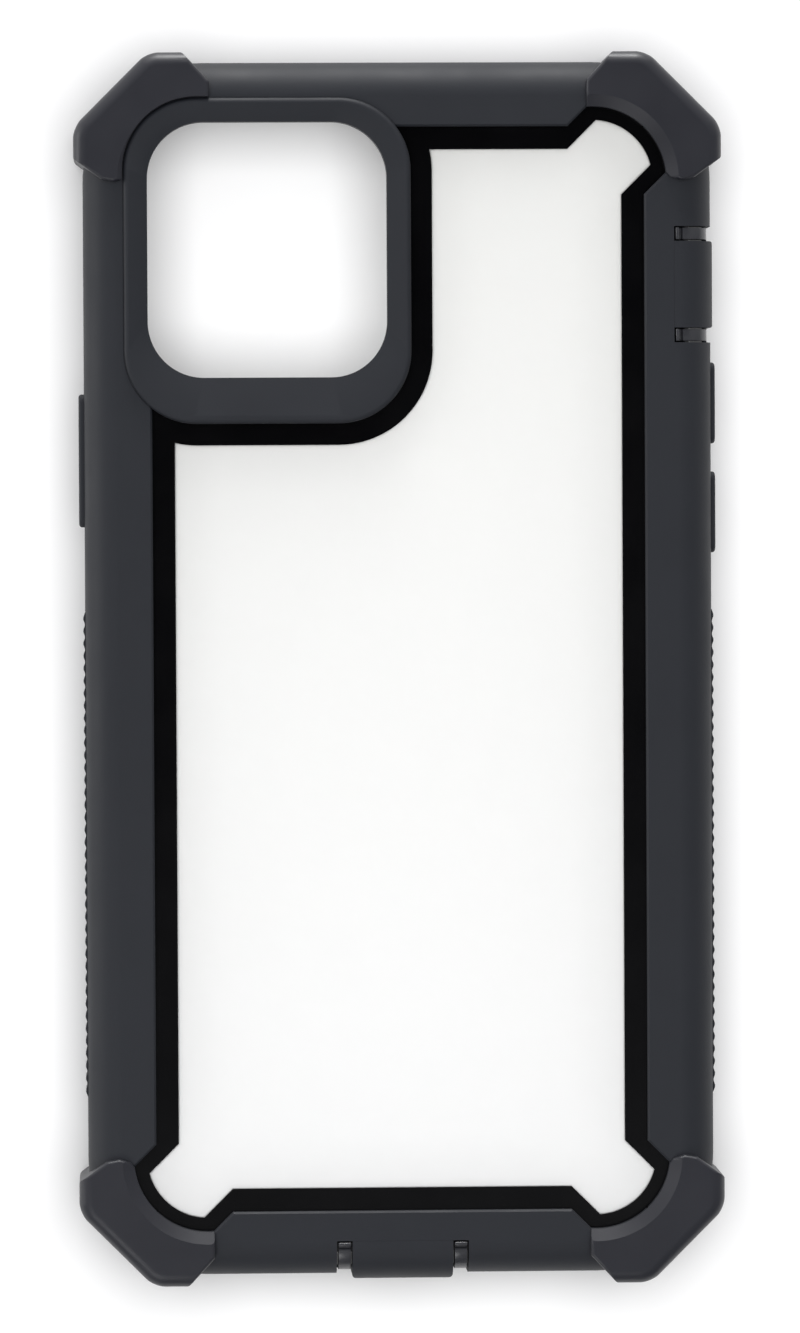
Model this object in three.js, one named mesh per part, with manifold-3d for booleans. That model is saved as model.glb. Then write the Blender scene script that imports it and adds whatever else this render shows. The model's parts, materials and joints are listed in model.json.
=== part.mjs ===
// A rugged two-layer phone case, lying on its front: the phone's screen faces down.
// Millimetres. Seen from the back, +X is right and +Y is the phone's top, and +Z comes out of the back.
// The origin is under the middle of the case, on the surface that its corner guards stand on.
import * as THREE from "three";
import { mergeVertices } from "three/addons/utils/BufferGeometryUtils.js";
import Module from "manifold-3d";

const wasm = await Module();
wasm.setup();

// The phone that the case holds.
const PHONE_WIDTH = 71.5;
const PHONE_LENGTH = 146.7;
const PHONE_THICKNESS = 7.4;
const PHONE_CORNER_RADIUS = 10.75;

// Clearances: round the phone, between layers, at a moving piece, and along a bonded joint.
const PHONE_CLEARANCE = 0.2;
const LAYER_GAP = 0.1;
const MOVING_GAP = 0.2;
const BOND_GAP = 0.15;
const SNAP_GAP = 0.3;

// Walls, from the phone's side outwards.
const SHELL_WALL = 1.6;
const SKIN_WALL = 2.7;
const GUARD_PROUD = 1.15;
const GUARD_CORNER_PROUD = 1.25;

// Layers, from the front of the case to its back.
const GUARD_FRONT_PROUD = 0.8;
const LIP_THICKNESS = 0.8;
const FRAME_THICKNESS = 1.2;
const BACK_THICKNESS = 1.4;
const RAIL_THICKNESS = 1.2;
const RING_OVER_RAIL = 0.8;
const GUARD_OVER_RAIL = 1.2;

// Roundings of the long edges.
const RAIL_BACK_ROUND = 4.5;
const RAIL_FRONT_ROUND = 2.5;
const SHELL_BACK_ROUND = 0.8;

// The front frame: how far it covers the screen's edge, and the rim and catches that hold it in the shell.
const FRAME_COVER = 2.15;
const LIP_COVER = 0.75;
const RIM_THICKNESS = 0.6;
const RIM_HEIGHT = 1.6;
const CATCH_LENGTH = 6;
const CATCH_HEIGHT = 0.8;
const CATCH_PROUD = 0.55;
const CATCHES_PER_SIDE = 4;
const END_CATCH_FROM_CORNER = 8;

// The back opening in the skin: the width of the rails over the phone, and the notch towards each corner.
const SIDE_RAIL_COVER = 4.15;
const END_RAIL_COVER = 3.8;
const NOTCH_FROM_SIDE = 3.2;
const NOTCH_FROM_END = 1.8;
const NOTCH_INSIDE_PHONE = 1.3;

// The clear window: the black border left round it, and the window's own arc in each notch.
const BORDER = 2.9;
const WINDOW_NOTCH_INSIDE_PHONE = 3;
const LEDGE_WIDTH = 2;
const LEDGE_THICKNESS = 0.5;
const PANEL_FLANGE = 1.8;
const ADHESIVE_THICKNESS = 0.15;
const ADHESIVE_WIDTH = 1.3;

// The camera opening, placed from the phone's top left corner, and the ring round it.
const CAMERA_FROM_SIDE = 3.65;
const CAMERA_FROM_TOP = 3.15;
const CAMERA_WIDTH = 30.7;
const CAMERA_HEIGHT = 32.7;
const CAMERA_RADIUS = 7.2;
const RING_MARGIN = 3.05;
const RING_LOWER_MARGIN = 5.9;
const RING_RADIUS = 9.3;
const RING_EDGE_ROUND = 0.7;
const RING_SLOPE_WIDTH = 2.2;
const RING_SLOPE_DEPTH = 1.1;
const RING_SLEEVE = 1.2;
const RING_BORDER = 2.75;

// A corner guard in its own quarter: distances from the centre of the phone's corner.
const GUARD_CORNER_ROUND = 3.5;
const GUARD_FRONT_OUTSIDE_PHONE = 0.45;
const GUARD_SIDE_END = 2.9;
const GUARD_END_END = 2.6;
const GUARD_SIDE_TIP = [[2.45, 0.25], [4.05, -0.05], [5.45, 0.4]];
const GUARD_END_TIP = [[3.95, -0.9], [2.55, -0.85]];
const GUARD_END_ROUND = 0.6;
const GUARD_INNER_SIDE_ANGLE = 0.12;
const GUARD_INNER_END_ANGLE = 0.08;
const GUARD_OUTER_BEVEL = 1.3;
const GUARD_INNER_BEVEL = 1.5;
const GUARD_BEVEL_DEPTH = 0.9;
const GUARD_STEP_BEVEL = 0.35;

// Side buttons: the places of their middles, from the phone's top.
const POWER_FROM_TOP = 46.4;
const POWER_LENGTH = 17.1;
const VOLUME_UP_FROM_TOP = 39.3;
const VOLUME_DOWN_FROM_TOP = 53.35;
const VOLUME_LENGTH = 10.45;
const BUTTON_HEIGHT = 4.2;
const POWER_PROUD = 0.7;
const VOLUME_PROUD = 0.6;
const BUTTON_EDGE = 0.35;
const BUTTON_TRAVEL = 0.5;
const BUTTON_FLANGE = 0.8;
const BUTTON_FLANGE_THICKNESS = 0.75;
const NUB_SHORTER = 4;
const NUB_HEIGHT = 2.2;

// Flaps over the switch and the charging port: each is cut free by a slot at both ends.
const SWITCH_FROM_TOP = 24.1;
const SWITCH_FLAP_WIDTH = 11.1;
const SWITCH_SLOT = 1.9;
const SWITCH_PROUD = 0.25;
const SWITCH_HINGE = -0.35;
const SWITCH_HOLE = [9.3, 4.6];
const SWITCH_PLUG = [6.5, 2.2];
const PORT_FLAP_WIDTH = 12.95;
const PORT_SLOT = 2;
const PORT_PROUD = 0.7;
const PORT_HINGE = 0.05;
const PORT_HOLE = [11.8, 5.4];
const PORT_PLUG = [9.6, 3.4];
const BOSS_OUT = 3.45;
const BOSS_SPARE = 0.8;
const BOSS_CHAMFER = 1.7;
const FLAP_FRONT = 3.2;
const PLUG_DEPTH = 0.6;

// Speaker slots in the bottom end, either side of the port.
const SPEAKER_PLACE = 16.5;
const SPEAKER_SLOT = [9, 2.8];

// Grip strips, placed from the phone's top and bottom, with a rib for every whole pitch between.
const GRIP_FROM_TOP = 65.85;
const GRIP_FROM_BOTTOM = 16.85;
const GRIP_PITCH = 1.6;
const GRIP_RIB_PROUD = 0.3;
const GRIP_DEPTH = 0.9;
const GRIP_HEIGHT = 4.8;

// Facets.
const CORNER_STEPS = 8;
const ROUND_STEPS = 4;
const PAST = 5;

// Heights of the layers.
const lipFront = GUARD_FRONT_PROUD;
const lipBack = lipFront + LIP_THICKNESS;
const frameBack = lipBack + FRAME_THICKNESS;
const phoneMiddle = frameBack + (PHONE_THICKNESS + PHONE_CLEARANCE) / 2;
const phoneBack = frameBack + PHONE_THICKNESS + PHONE_CLEARANCE;
const shellBack = phoneBack + BACK_THICKNESS;
const railBack = shellBack + RAIL_THICKNESS;
const ringBack = railBack + RING_OVER_RAIL;
const guardBack = railBack + GUARD_OVER_RAIL;

// Offsets from the phone's side.
const shellOut = PHONE_CLEARANCE + SHELL_WALL;
const skinIn = shellOut + LAYER_GAP;
const skinOut = skinIn + SKIN_WALL;
const rimIn = PHONE_CLEARANCE + LAYER_GAP;
const rimOut = rimIn + RIM_THICKNESS;

const cornerX = PHONE_WIDTH / 2 - PHONE_CORNER_RADIUS;
const cornerY = PHONE_LENGTH / 2 - PHONE_CORNER_RADIUS;
const phoneTop = PHONE_LENGTH / 2;
const notchRadius = PHONE_CORNER_RADIUS - NOTCH_INSIDE_PHONE;
const skinRadius = PHONE_CORNER_RADIUS + skinOut;

const rubber = new THREE.MeshStandardMaterial({ color: 0x34353a, roughness: 0.72, metalness: 0 });
const guardRubber = new THREE.MeshStandardMaterial({ color: 0x37383d, roughness: 0.7, metalness: 0 });
const glossBlack = new THREE.MeshStandardMaterial({ color: 0x0d0d0e, roughness: 0.15, metalness: 0 });
const satinBlack = new THREE.MeshStandardMaterial({ color: 0x1a1a1c, roughness: 0.4, metalness: 0 });
const clearPlastic = new THREE.MeshStandardMaterial({
  color: 0xf2f3f4,
  roughness: 0.06,
  metalness: 0,
  transparent: true,
  opacity: 0.3,
});
const tape = new THREE.MeshStandardMaterial({ color: 0x202022, roughness: 0.8, metalness: 0 });

// A closed geometry as a solid that can be cut and joined, moved by the matrix first.
function solidOf(geometry, matrix = new THREE.Matrix4()) {
  const flat = geometry.clone().applyMatrix4(matrix);
  flat.deleteAttribute("normal");
  flat.deleteAttribute("uv");
  const merged = mergeVertices(flat, 1e-4);
  return new wasm.Manifold(
    new wasm.Mesh({
      numProp: 3,
      vertProperties: new Float32Array(merged.attributes.position.array),
      triVerts: new Uint32Array(merged.index.array),
    }),
  );
}

// A solid as a named mesh, whose facets keep their edges.
function meshOf(name, solid, material) {
  const { vertProperties, triVerts } = solid.getMesh();
  const geometry = new THREE.BufferGeometry();
  geometry.setAttribute("position", new THREE.BufferAttribute(vertProperties, 3));
  geometry.setIndex(new THREE.BufferAttribute(triVerts, 1));
  const faceted = geometry.toNonIndexed();
  faceted.computeVertexNormals();
  const mesh = new THREE.Mesh(faceted, material);
  mesh.name = name;
  return mesh;
}

function joined(solids) {
  return solids.reduce((whole, solid) => whole.add(solid));
}

function without(solid, cutters) {
  return cutters.reduce((rest, cutter) => rest.subtract(cutter), solid);
}

function box(xLow, xHigh, yLow, yHigh, zLow, zHigh, matrix) {
  const geometry = new THREE.BoxGeometry(xHigh - xLow, yHigh - yLow, zHigh - zLow);
  geometry.translate((xLow + xHigh) / 2, (yLow + yHigh) / 2, (zLow + zHigh) / 2);
  return solidOf(geometry, matrix);
}

// An outline through corners [x, y, radius], in order, each with a radius rounded by an arc.
function outlineOf(corners) {
  const points = [];
  corners.forEach(([x, y, radius = 0], index) => {
    const corner = new THREE.Vector2(x, y);
    if (radius === 0) {
      points.push(corner);
      return;
    }
    const count = corners.length;
    const [fromX, fromY] = corners[(index + count - 1) % count];
    const [toX, toY] = corners[(index + 1) % count];
    const back = new THREE.Vector2(fromX, fromY).sub(corner).normalize();
    const ahead = new THREE.Vector2(toX, toY).sub(corner).normalize();
    const half = Math.acos(THREE.MathUtils.clamp(back.dot(ahead), -1, 1)) / 2;
    const middle = back.clone().add(ahead).normalize();
    const centre = corner.clone().addScaledVector(middle, radius / Math.sin(half));
    const turn = Math.PI / 2 - half;
    const way = Math.sign(back.cross(ahead));
    const steps = Math.max(2, Math.round((turn * 2 * CORNER_STEPS) / (Math.PI / 2)));
    for (let step = 0; step <= steps; step += 1) {
      const angle = way * turn * (1 - (2 * step) / steps);
      const spoke = middle.clone().negate().rotateAround(new THREE.Vector2(), angle);
      points.push(centre.clone().addScaledVector(spoke, radius));
    }
  });
  return new THREE.Shape(points);
}

function rectangle(left, right, low, high, radius) {
  return outlineOf([
    [left, low, radius],
    [right, low, radius],
    [right, high, radius],
    [left, high, radius],
  ]);
}

// The phone's own outline, grown outwards by an offset.
function aroundPhone(offset) {
  const x = PHONE_WIDTH / 2 + offset;
  const y = PHONE_LENGTH / 2 + offset;
  return rectangle(-x, x, -y, y, PHONE_CORNER_RADIUS + offset);
}

// An outline as a slab between two heights. Both its rims are rounded inwards by the bevel.
function slab(outline, zLow, zHigh, bevel = null) {
  const { size = 0, depth = size, steps = ROUND_STEPS } = bevel ?? {};
  const geometry = new THREE.ExtrudeGeometry(outline, {
    depth: zHigh - zLow - 2 * depth,
    steps: 1,
    bevelEnabled: bevel !== null,
    bevelSize: size,
    bevelThickness: depth,
    bevelOffset: -size,
    bevelSegments: steps,
  });
  geometry.translate(0, 0, zLow + depth);
  return solidOf(geometry);
}

// A pit that narrows downwards: the outline at its foot, wider by the flare from the mouth up.
function pit(outline, zFoot, zMouth, flare) {
  const depth = zMouth - zFoot;
  const geometry = new THREE.ExtrudeGeometry(outline, {
    depth: PAST,
    steps: 1,
    bevelEnabled: true,
    bevelSize: flare,
    bevelThickness: depth,
    bevelOffset: 0,
    bevelSegments: 1,
  });
  geometry.translate(0, 0, zMouth);
  return solidOf(geometry);
}

// A section drawn as (distance out from the phone's side, height), swept along an edge of the case.
function swept(section, length, matrix) {
  const geometry = new THREE.ExtrudeGeometry(outlineOf(section), { depth: length, bevelEnabled: false });
  const basis = new THREE.Matrix4().makeBasis(
    new THREE.Vector3(0, -1, 0),
    new THREE.Vector3(0, 0, 1),
    new THREE.Vector3(-1, 0, 0),
  );
  geometry.translate(0, 0, -length / 2).applyMatrix4(basis);
  return solidOf(geometry, matrix);
}

// An outline drawn as (along the edge, height), pushed through the wall between two distances out.
function through(outline, out, outer, matrix) {
  const geometry = new THREE.ExtrudeGeometry(outline, { depth: outer - out, bevelEnabled: false });
  const basis = new THREE.Matrix4().makeBasis(
    new THREE.Vector3(1, 0, 0),
    new THREE.Vector3(0, 0, 1),
    new THREE.Vector3(0, -1, 0),
  );
  geometry.translate(0, 0, out).applyMatrix4(basis);
  return solidOf(geometry, matrix);
}

// Where a feature stands on an edge: its own -Y points out of the case, from the phone's side.
const EDGES = {
  right: { turn: Math.PI / 2, at: (along) => [PHONE_WIDTH / 2, along] },
  left: { turn: -Math.PI / 2, at: (along) => [-PHONE_WIDTH / 2, along] },
  bottom: { turn: 0, at: (along) => [along, -PHONE_LENGTH / 2] },
  top: { turn: Math.PI, at: (along) => [along, PHONE_LENGTH / 2] },
};

function edgeMatrix(edge, along) {
  const [x, y] = EDGES[edge].at(along);
  return new THREE.Matrix4().makeRotationZ(EDGES[edge].turn).setPosition(x, y, 0);
}

function placeOnEdge(mesh, edge, along) {
  const [x, y] = EDGES[edge].at(along);
  mesh.position.set(x, y, 0);
  mesh.rotation.z = EDGES[edge].turn;
  return mesh;
}

function arc(radius, from, to) {
  return Array.from({ length: CORNER_STEPS + 1 }, (_, step) => {
    const angle = from + ((to - from) * step) / CORNER_STEPS;
    return [radius * Math.cos(angle), radius * Math.sin(angle)];
  });
}

// Where a 45 degree line, outwards and up from a point, meets a circle round the corner's centre.
function meetArc([x, y], radius) {
  const along = -(x + y) / 2 + Math.sqrt(((x + y) ** 2) / 4 - (x * x + y * y - radius * radius) / 2);
  return [x + along, y + along];
}

// An opening whose straight sides widen by 45 degree notches into an arc towards each corner.
function notchedOutline(halfX, halfY, radius, offset = 0) {
  const creep = offset * (1 - Math.SQRT2);
  const side = [halfX + offset - cornerX, -NOTCH_FROM_END + creep];
  const end = [-NOTCH_FROM_SIDE + creep, halfY + offset - cornerY];
  const sideMeet = meetArc(side, radius + offset);
  const endMeet = meetArc(end, radius + offset);
  const from = Math.atan2(sideMeet[1], sideMeet[0]);
  const to = Math.atan2(endMeet[1], endMeet[0]);
  const quarter = [side, ...arc(radius + offset, from, to), end];
  const corners = [[1, 1], [-1, 1], [-1, -1], [1, -1]].flatMap(([signX, signY]) => {
    const placed = quarter.map(([x, y]) => [signX * (cornerX + x), signY * (cornerY + y)]);
    return signX * signY > 0 ? placed : placed.reverse();
  });
  return outlineOf(corners);
}

// The camera opening and the ring's outer edge, both grown outwards by an offset.
const cameraLeft = -PHONE_WIDTH / 2 + CAMERA_FROM_SIDE;
const cameraTop = phoneTop - CAMERA_FROM_TOP;
const cameraRight = cameraLeft + CAMERA_WIDTH;
const cameraLow = cameraTop - CAMERA_HEIGHT;
const ringLeft = cameraLeft - RING_MARGIN;
const ringRight = cameraRight + RING_MARGIN;
const ringTop = cameraTop + RING_MARGIN;
const ringLow = cameraLow - RING_LOWER_MARGIN;

function cameraOutline(offset) {
  return rectangle(
    cameraLeft - offset,
    cameraRight + offset,
    cameraLow - offset,
    cameraTop + offset,
    CAMERA_RADIUS + offset,
  );
}

function ringOutline(offset) {
  return rectangle(
    ringLeft - offset,
    ringRight + offset,
    ringLow - offset,
    ringTop + offset,
    RING_RADIUS + offset,
  );
}

// The clear window, grown by an offset: notched at the corners and kept off the camera ring.
const windowX = PHONE_WIDTH / 2 - SIDE_RAIL_COVER - BORDER;
const windowY = PHONE_LENGTH / 2 - END_RAIL_COVER - BORDER;
const windowNotchRadius = PHONE_CORNER_RADIUS - WINDOW_NOTCH_INSIDE_PHONE;

function windowSlab(offset, zLow, zHigh) {
  const opening = slab(notchedOutline(windowX, windowY, windowNotchRadius, offset), zLow, zHigh);
  return opening.subtract(slab(ringOutline(RING_BORDER - offset), zLow - PAST, zHigh + PAST));
}

// The skin's outer form, grown by an offset: well rounded at the back and less at the front.
function skinForm(offset) {
  const outline = aroundPhone(skinOut + offset);
  const back = slab(outline, lipFront - offset - PAST, railBack + offset, {
    size: RAIL_BACK_ROUND,
    steps: ROUND_STEPS + 1,
  });
  const front = slab(outline, lipFront - offset, railBack + offset + PAST, { size: RAIL_FRONT_ROUND });
  return back.intersect(front);
}

// Flaps: the leaf and wall of a flap, the boss under it, and the cut that frees it.
const FLAPS = {
  switch: {
    edge: "right",
    along: phoneTop - SWITCH_FROM_TOP,
    width: SWITCH_FLAP_WIDTH,
    slot: SWITCH_SLOT,
    proud: SWITCH_PROUD,
    hinge: SWITCH_HINGE,
    hole: SWITCH_HOLE,
    plug: SWITCH_PLUG,
  },
  port: {
    edge: "bottom",
    along: 0,
    width: PORT_FLAP_WIDTH,
    slot: PORT_SLOT,
    proud: PORT_PROUD,
    hinge: PORT_HINGE,
    hole: PORT_HOLE,
    plug: PORT_PLUG,
  },
};

const leafFront = shellBack + BOND_GAP;
const bossFront = FLAP_FRONT + LAYER_GAP;
const bossBack = shellBack - SHELL_BACK_ROUND;

function bossSection(grown) {
  const out = BOSS_OUT + grown;
  return [
    [shellOut - SHELL_WALL / 2, bossFront - grown],
    [out, bossFront - grown],
    [out, bossBack - BOSS_CHAMFER + grown / 2],
    [out - BOSS_CHAMFER, bossBack + grown / 2],
    [shellOut - SHELL_WALL / 2, bossBack + grown / 2],
  ];
}

function bossLength(flap) {
  return flap.width + 2 * (flap.slot + BOSS_SPARE);
}

function flapSolid(flap) {
  const outer = skinOut + flap.proud;
  const inner = BOSS_OUT + MOVING_GAP;
  const wall = swept(
    [
      [flap.hinge + LAYER_GAP, leafFront],
      [flap.hinge + LAYER_GAP, railBack],
      [outer, railBack, RAIL_BACK_ROUND],
      [outer, FLAP_FRONT],
      [inner, FLAP_FRONT],
      [inner, bossBack - BOSS_CHAMFER + MOVING_GAP],
      [inner - BOSS_CHAMFER, leafFront],
    ],
    flap.width,
  );
  const [plugWidth, plugHeight] = flap.plug;
  const plug = rectangle(
    -plugWidth / 2,
    plugWidth / 2,
    phoneMiddle - plugHeight / 2,
    phoneMiddle + plugHeight / 2,
    plugHeight / 3,
  );
  return wall.add(through(plug, BOSS_OUT - PLUG_DEPTH, inner + MOVING_GAP));
}

function flapCut(flap) {
  const half = flap.width / 2 + flap.slot;
  return box(-half, half, -skinOut - PAST, -flap.hinge, FLAP_FRONT - MOVING_GAP, railBack + PAST,
    edgeMatrix(flap.edge, flap.along));
}

function bossOf(flap, grown) {
  return swept(bossSection(grown), bossLength(flap) + 2 * grown, edgeMatrix(flap.edge, flap.along));
}

function flapHole(flap) {
  const [width, height] = flap.hole;
  const outline = rectangle(
    -width / 2,
    width / 2,
    phoneMiddle - height / 2,
    phoneMiddle + height / 2,
    height / 3,
  );
  return through(outline, -PAST, BOSS_OUT + PAST, edgeMatrix(flap.edge, flap.along));
}

// Side buttons: a cap through the skin, a flange behind it, and a nub through the shell.
const BUTTONS = {
  power_button: { edge: "left", fromTop: POWER_FROM_TOP, length: POWER_LENGTH, proud: POWER_PROUD },
  volume_up_button: {
    edge: "right",
    fromTop: VOLUME_UP_FROM_TOP,
    length: VOLUME_LENGTH,
    proud: VOLUME_PROUD,
  },
  volume_down_button: {
    edge: "right",
    fromTop: VOLUME_DOWN_FROM_TOP,
    length: VOLUME_LENGTH,
    proud: VOLUME_PROUD,
  },
};

const flangeIn = skinIn + BUTTON_TRAVEL + LAYER_GAP / 2;
const flangeOut = flangeIn + BUTTON_FLANGE_THICKNESS;
const nubTip = PHONE_CLEARANCE + BUTTON_TRAVEL;

function buttonBlock(length, height, from, to, matrix) {
  const half = length / 2;
  return box(-half, half, -to, -from, phoneMiddle - height / 2, phoneMiddle + height / 2, matrix);
}

function buttonSolid({ length, proud }) {
  const half = length / 2;
  const outline = rectangle(
    -half,
    half,
    phoneMiddle - BUTTON_HEIGHT / 2,
    phoneMiddle + BUTTON_HEIGHT / 2,
    BUTTON_HEIGHT / 4,
  );
  const geometry = new THREE.ExtrudeGeometry(outline, {
    depth: skinOut + proud - flangeOut,
    bevelEnabled: true,
    bevelSize: BUTTON_EDGE,
    bevelThickness: BUTTON_EDGE,
    bevelOffset: -BUTTON_EDGE,
    bevelSegments: 2,
  });
  const basis = new THREE.Matrix4().makeBasis(
    new THREE.Vector3(1, 0, 0),
    new THREE.Vector3(0, 0, 1),
    new THREE.Vector3(0, -1, 0),
  );
  geometry.translate(0, 0, flangeOut - BUTTON_EDGE).applyMatrix4(basis);
  return joined([
    solidOf(geometry),
    buttonBlock(length + 2 * BUTTON_FLANGE, BUTTON_HEIGHT + 2 * BUTTON_FLANGE, flangeIn, flangeOut),
    buttonBlock(length - NUB_SHORTER, NUB_HEIGHT, nubTip, flangeIn + LAYER_GAP),
  ]);
}

function buttonCuts({ edge, fromTop, length }) {
  const matrix = edgeMatrix(edge, phoneTop - fromTop);
  const wide = 2 * MOVING_GAP;
  const flangeWide = 2 * BUTTON_FLANGE + wide;
  return {
    skin: joined([
      buttonBlock(length + wide, BUTTON_HEIGHT + wide, 0, skinOut + PAST, matrix),
      buttonBlock(length + flangeWide, BUTTON_HEIGHT + flangeWide, 0, flangeOut + LAYER_GAP, matrix),
    ]),
    shell: buttonBlock(length - NUB_SHORTER + wide, NUB_HEIGHT + wide, 0, skinIn, matrix),
  };
}

// Grip strips: ribs along a base that sits in a recess of the skin's side.
const gripRibs = Math.floor((PHONE_LENGTH - GRIP_FROM_TOP - GRIP_FROM_BOTTOM) / GRIP_PITCH);
const gripLength = gripRibs * GRIP_PITCH;
const gripAlong = phoneTop - GRIP_FROM_TOP - gripLength / 2;
const gripLow = phoneMiddle - GRIP_HEIGHT / 2;
const gripHigh = phoneMiddle + GRIP_HEIGHT / 2;

function gripSolid() {
  const start = -gripLength / 2;
  const base = -skinOut + GRIP_DEPTH - BOND_GAP;
  const ribs = Array.from({ length: gripRibs }, (_, rib) => [
    [start + rib * GRIP_PITCH, -skinOut],
    [start + (rib + 0.25) * GRIP_PITCH, -skinOut - GRIP_RIB_PROUD],
    [start + (rib + 0.75) * GRIP_PITCH, -skinOut - GRIP_RIB_PROUD],
  ]).flat();
  return slab(outlineOf([[start, base], ...ribs, [-start, -skinOut], [-start, base]]), gripLow, gripHigh);
}

function gripCut(edge) {
  const half = gripLength / 2 + BOND_GAP;
  return box(-half, half, -skinOut - PAST, -skinOut + GRIP_DEPTH, gripLow - BOND_GAP, gripHigh + BOND_GAP,
    edgeMatrix(edge, gripAlong));
}

function speakerSlots(outer) {
  const [width, height] = SPEAKER_SLOT;
  return [-SPEAKER_PLACE, SPEAKER_PLACE].map((along) => {
    const outline = rectangle(
      -width / 2,
      width / 2,
      phoneMiddle - height / 2,
      phoneMiddle + height / 2,
      height / 2.5,
    );
    return through(outline, -PAST, outer, edgeMatrix("bottom", along));
  });
}

// Catches on the front frame's rim, and the windows for them in the shell.
function catches(grown, out) {
  const pitch = (2 * cornerY) / CATCHES_PER_SIDE;
  const sidePlaces = Array.from({ length: CATCHES_PER_SIDE }, (_, index) => (index + 0.5) * pitch - cornerY);
  const endPlaces = [END_CATCH_FROM_CORNER - cornerX, cornerX - END_CATCH_FROM_CORNER];
  const places = [
    ...sidePlaces.flatMap((along) => [["left", along], ["right", along]]),
    ...endPlaces.flatMap((along) => [["top", along], ["bottom", along]]),
  ];
  const half = CATCH_LENGTH / 2 + grown;
  const middle = frameBack + RIM_HEIGHT / 2;
  return places.map(([edge, along]) => box(
    -half,
    half,
    -out,
    -(rimOut - LAYER_GAP),
    middle - CATCH_HEIGHT / 2 - grown,
    middle + CATCH_HEIGHT / 2 + grown,
    edgeMatrix(edge, along),
  ));
}

function outerSkin() {
  const shellRoom = slab(aroundPhone(skinIn), lipBack, shellBack + LAYER_GAP);
  const frontOpening = slab(aroundPhone(-LIP_COVER), -PAST, lipBack + PAST);
  const backOpening = slab(
    notchedOutline(PHONE_WIDTH / 2 - SIDE_RAIL_COVER, PHONE_LENGTH / 2 - END_RAIL_COVER, notchRadius),
    phoneBack,
    railBack + PAST,
  );
  return without(skinForm(0), [
    shellRoom,
    frontOpening,
    backOpening,
    slab(ringOutline(BOND_GAP), phoneBack, railBack + PAST),
    ...Object.values(FLAPS).flatMap((flap) => [flapCut(flap), bossOf(flap, LAYER_GAP)]),
    ...Object.values(BUTTONS).map((button) => buttonCuts(button).skin),
    gripCut("left"),
    gripCut("right"),
    ...speakerSlots(skinOut + PAST),
  ]);
}

function innerShell() {
  const form = slab(aroundPhone(shellOut), frameBack - PAST, shellBack, { size: SHELL_BACK_ROUND, steps: 2 });
  const bosses = Object.values(FLAPS).map((flap) => bossOf(flap, 0));
  const front = frameBack + LAYER_GAP;
  const rimRoom = slab(aroundPhone(rimOut + SNAP_GAP), -PAST, frameBack + RIM_HEIGHT + SNAP_GAP);
  return without(joined([form, ...bosses]), [
    slab(aroundPhone(PHONE_CLEARANCE), -PAST, phoneBack),
    slab(rectangle(-PHONE_WIDTH, PHONE_WIDTH, -PHONE_LENGTH, PHONE_LENGTH, 0), -2 * PAST, front),
    rimRoom,
    windowSlab(0, phoneBack - PAST, shellBack + PAST),
    windowSlab(LEDGE_WIDTH, phoneBack - PAST, shellBack - LEDGE_THICKNESS),
    slab(cameraOutline(RING_SLEEVE + BOND_GAP), phoneBack - PAST, shellBack + PAST),
    ...Object.values(FLAPS).map(flapHole),
    ...Object.values(BUTTONS).map((button) => buttonCuts(button).shell),
    ...speakerSlots(shellOut + PAST),
    ...catches(SNAP_GAP, skinIn),
  ]);
}

function clearBackPanel() {
  const flangeBack = shellBack - LEDGE_THICKNESS - ADHESIVE_THICKNESS - LAYER_GAP;
  return windowSlab(PANEL_FLANGE, phoneBack, flangeBack).add(windowSlab(-BOND_GAP, phoneBack, shellBack));
}

function panelAdhesive() {
  const back = shellBack - LEDGE_THICKNESS - LAYER_GAP / 2;
  const front = back - ADHESIVE_THICKNESS;
  const inner = (LEDGE_WIDTH - ADHESIVE_WIDTH) / 2;
  return windowSlab(inner + ADHESIVE_WIDTH, front, back).subtract(windowSlab(inner, front - PAST, back + PAST));
}

function frontFrame() {
  const plate = slab(aroundPhone(shellOut), lipBack + LAYER_GAP, frameBack);
  const rim = slab(aroundPhone(rimOut), lipBack + LAYER_GAP, frameBack + RIM_HEIGHT);
  const rimRoom = slab(aroundPhone(rimIn), frameBack, frameBack + PAST);
  const screen = slab(aroundPhone(-FRAME_COVER), -PAST, frameBack + PAST);
  return without(joined([plate, rim, ...catches(0, rimOut + CATCH_PROUD)]), [rimRoom, screen]);
}

function cameraRing() {
  const front = shellBack + LAYER_GAP;
  const rounded = slab(ringOutline(0), front - PAST, ringBack, { size: RING_EDGE_ROUND, steps: 3 });
  const below = slab(rectangle(-PHONE_WIDTH, PHONE_WIDTH, 0, PHONE_LENGTH, 0), -PAST, front);
  const sleeve = slab(cameraOutline(RING_SLEEVE), phoneBack, front + RAIL_THICKNESS / 2);
  return without(joined([rounded.subtract(below), sleeve]), [
    slab(cameraOutline(0), -PAST, ringBack + PAST),
    pit(cameraOutline(0), ringBack - RING_SLOPE_DEPTH, ringBack, RING_SLOPE_WIDTH),
  ]);
}

// A corner guard: a crescent round the corner, raised over the rail and wrapped to the front.
const guardEdge = skinRadius + GUARD_PROUD;
const guardSlant = (skinRadius + GUARD_CORNER_PROUD) * Math.SQRT2;

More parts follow.
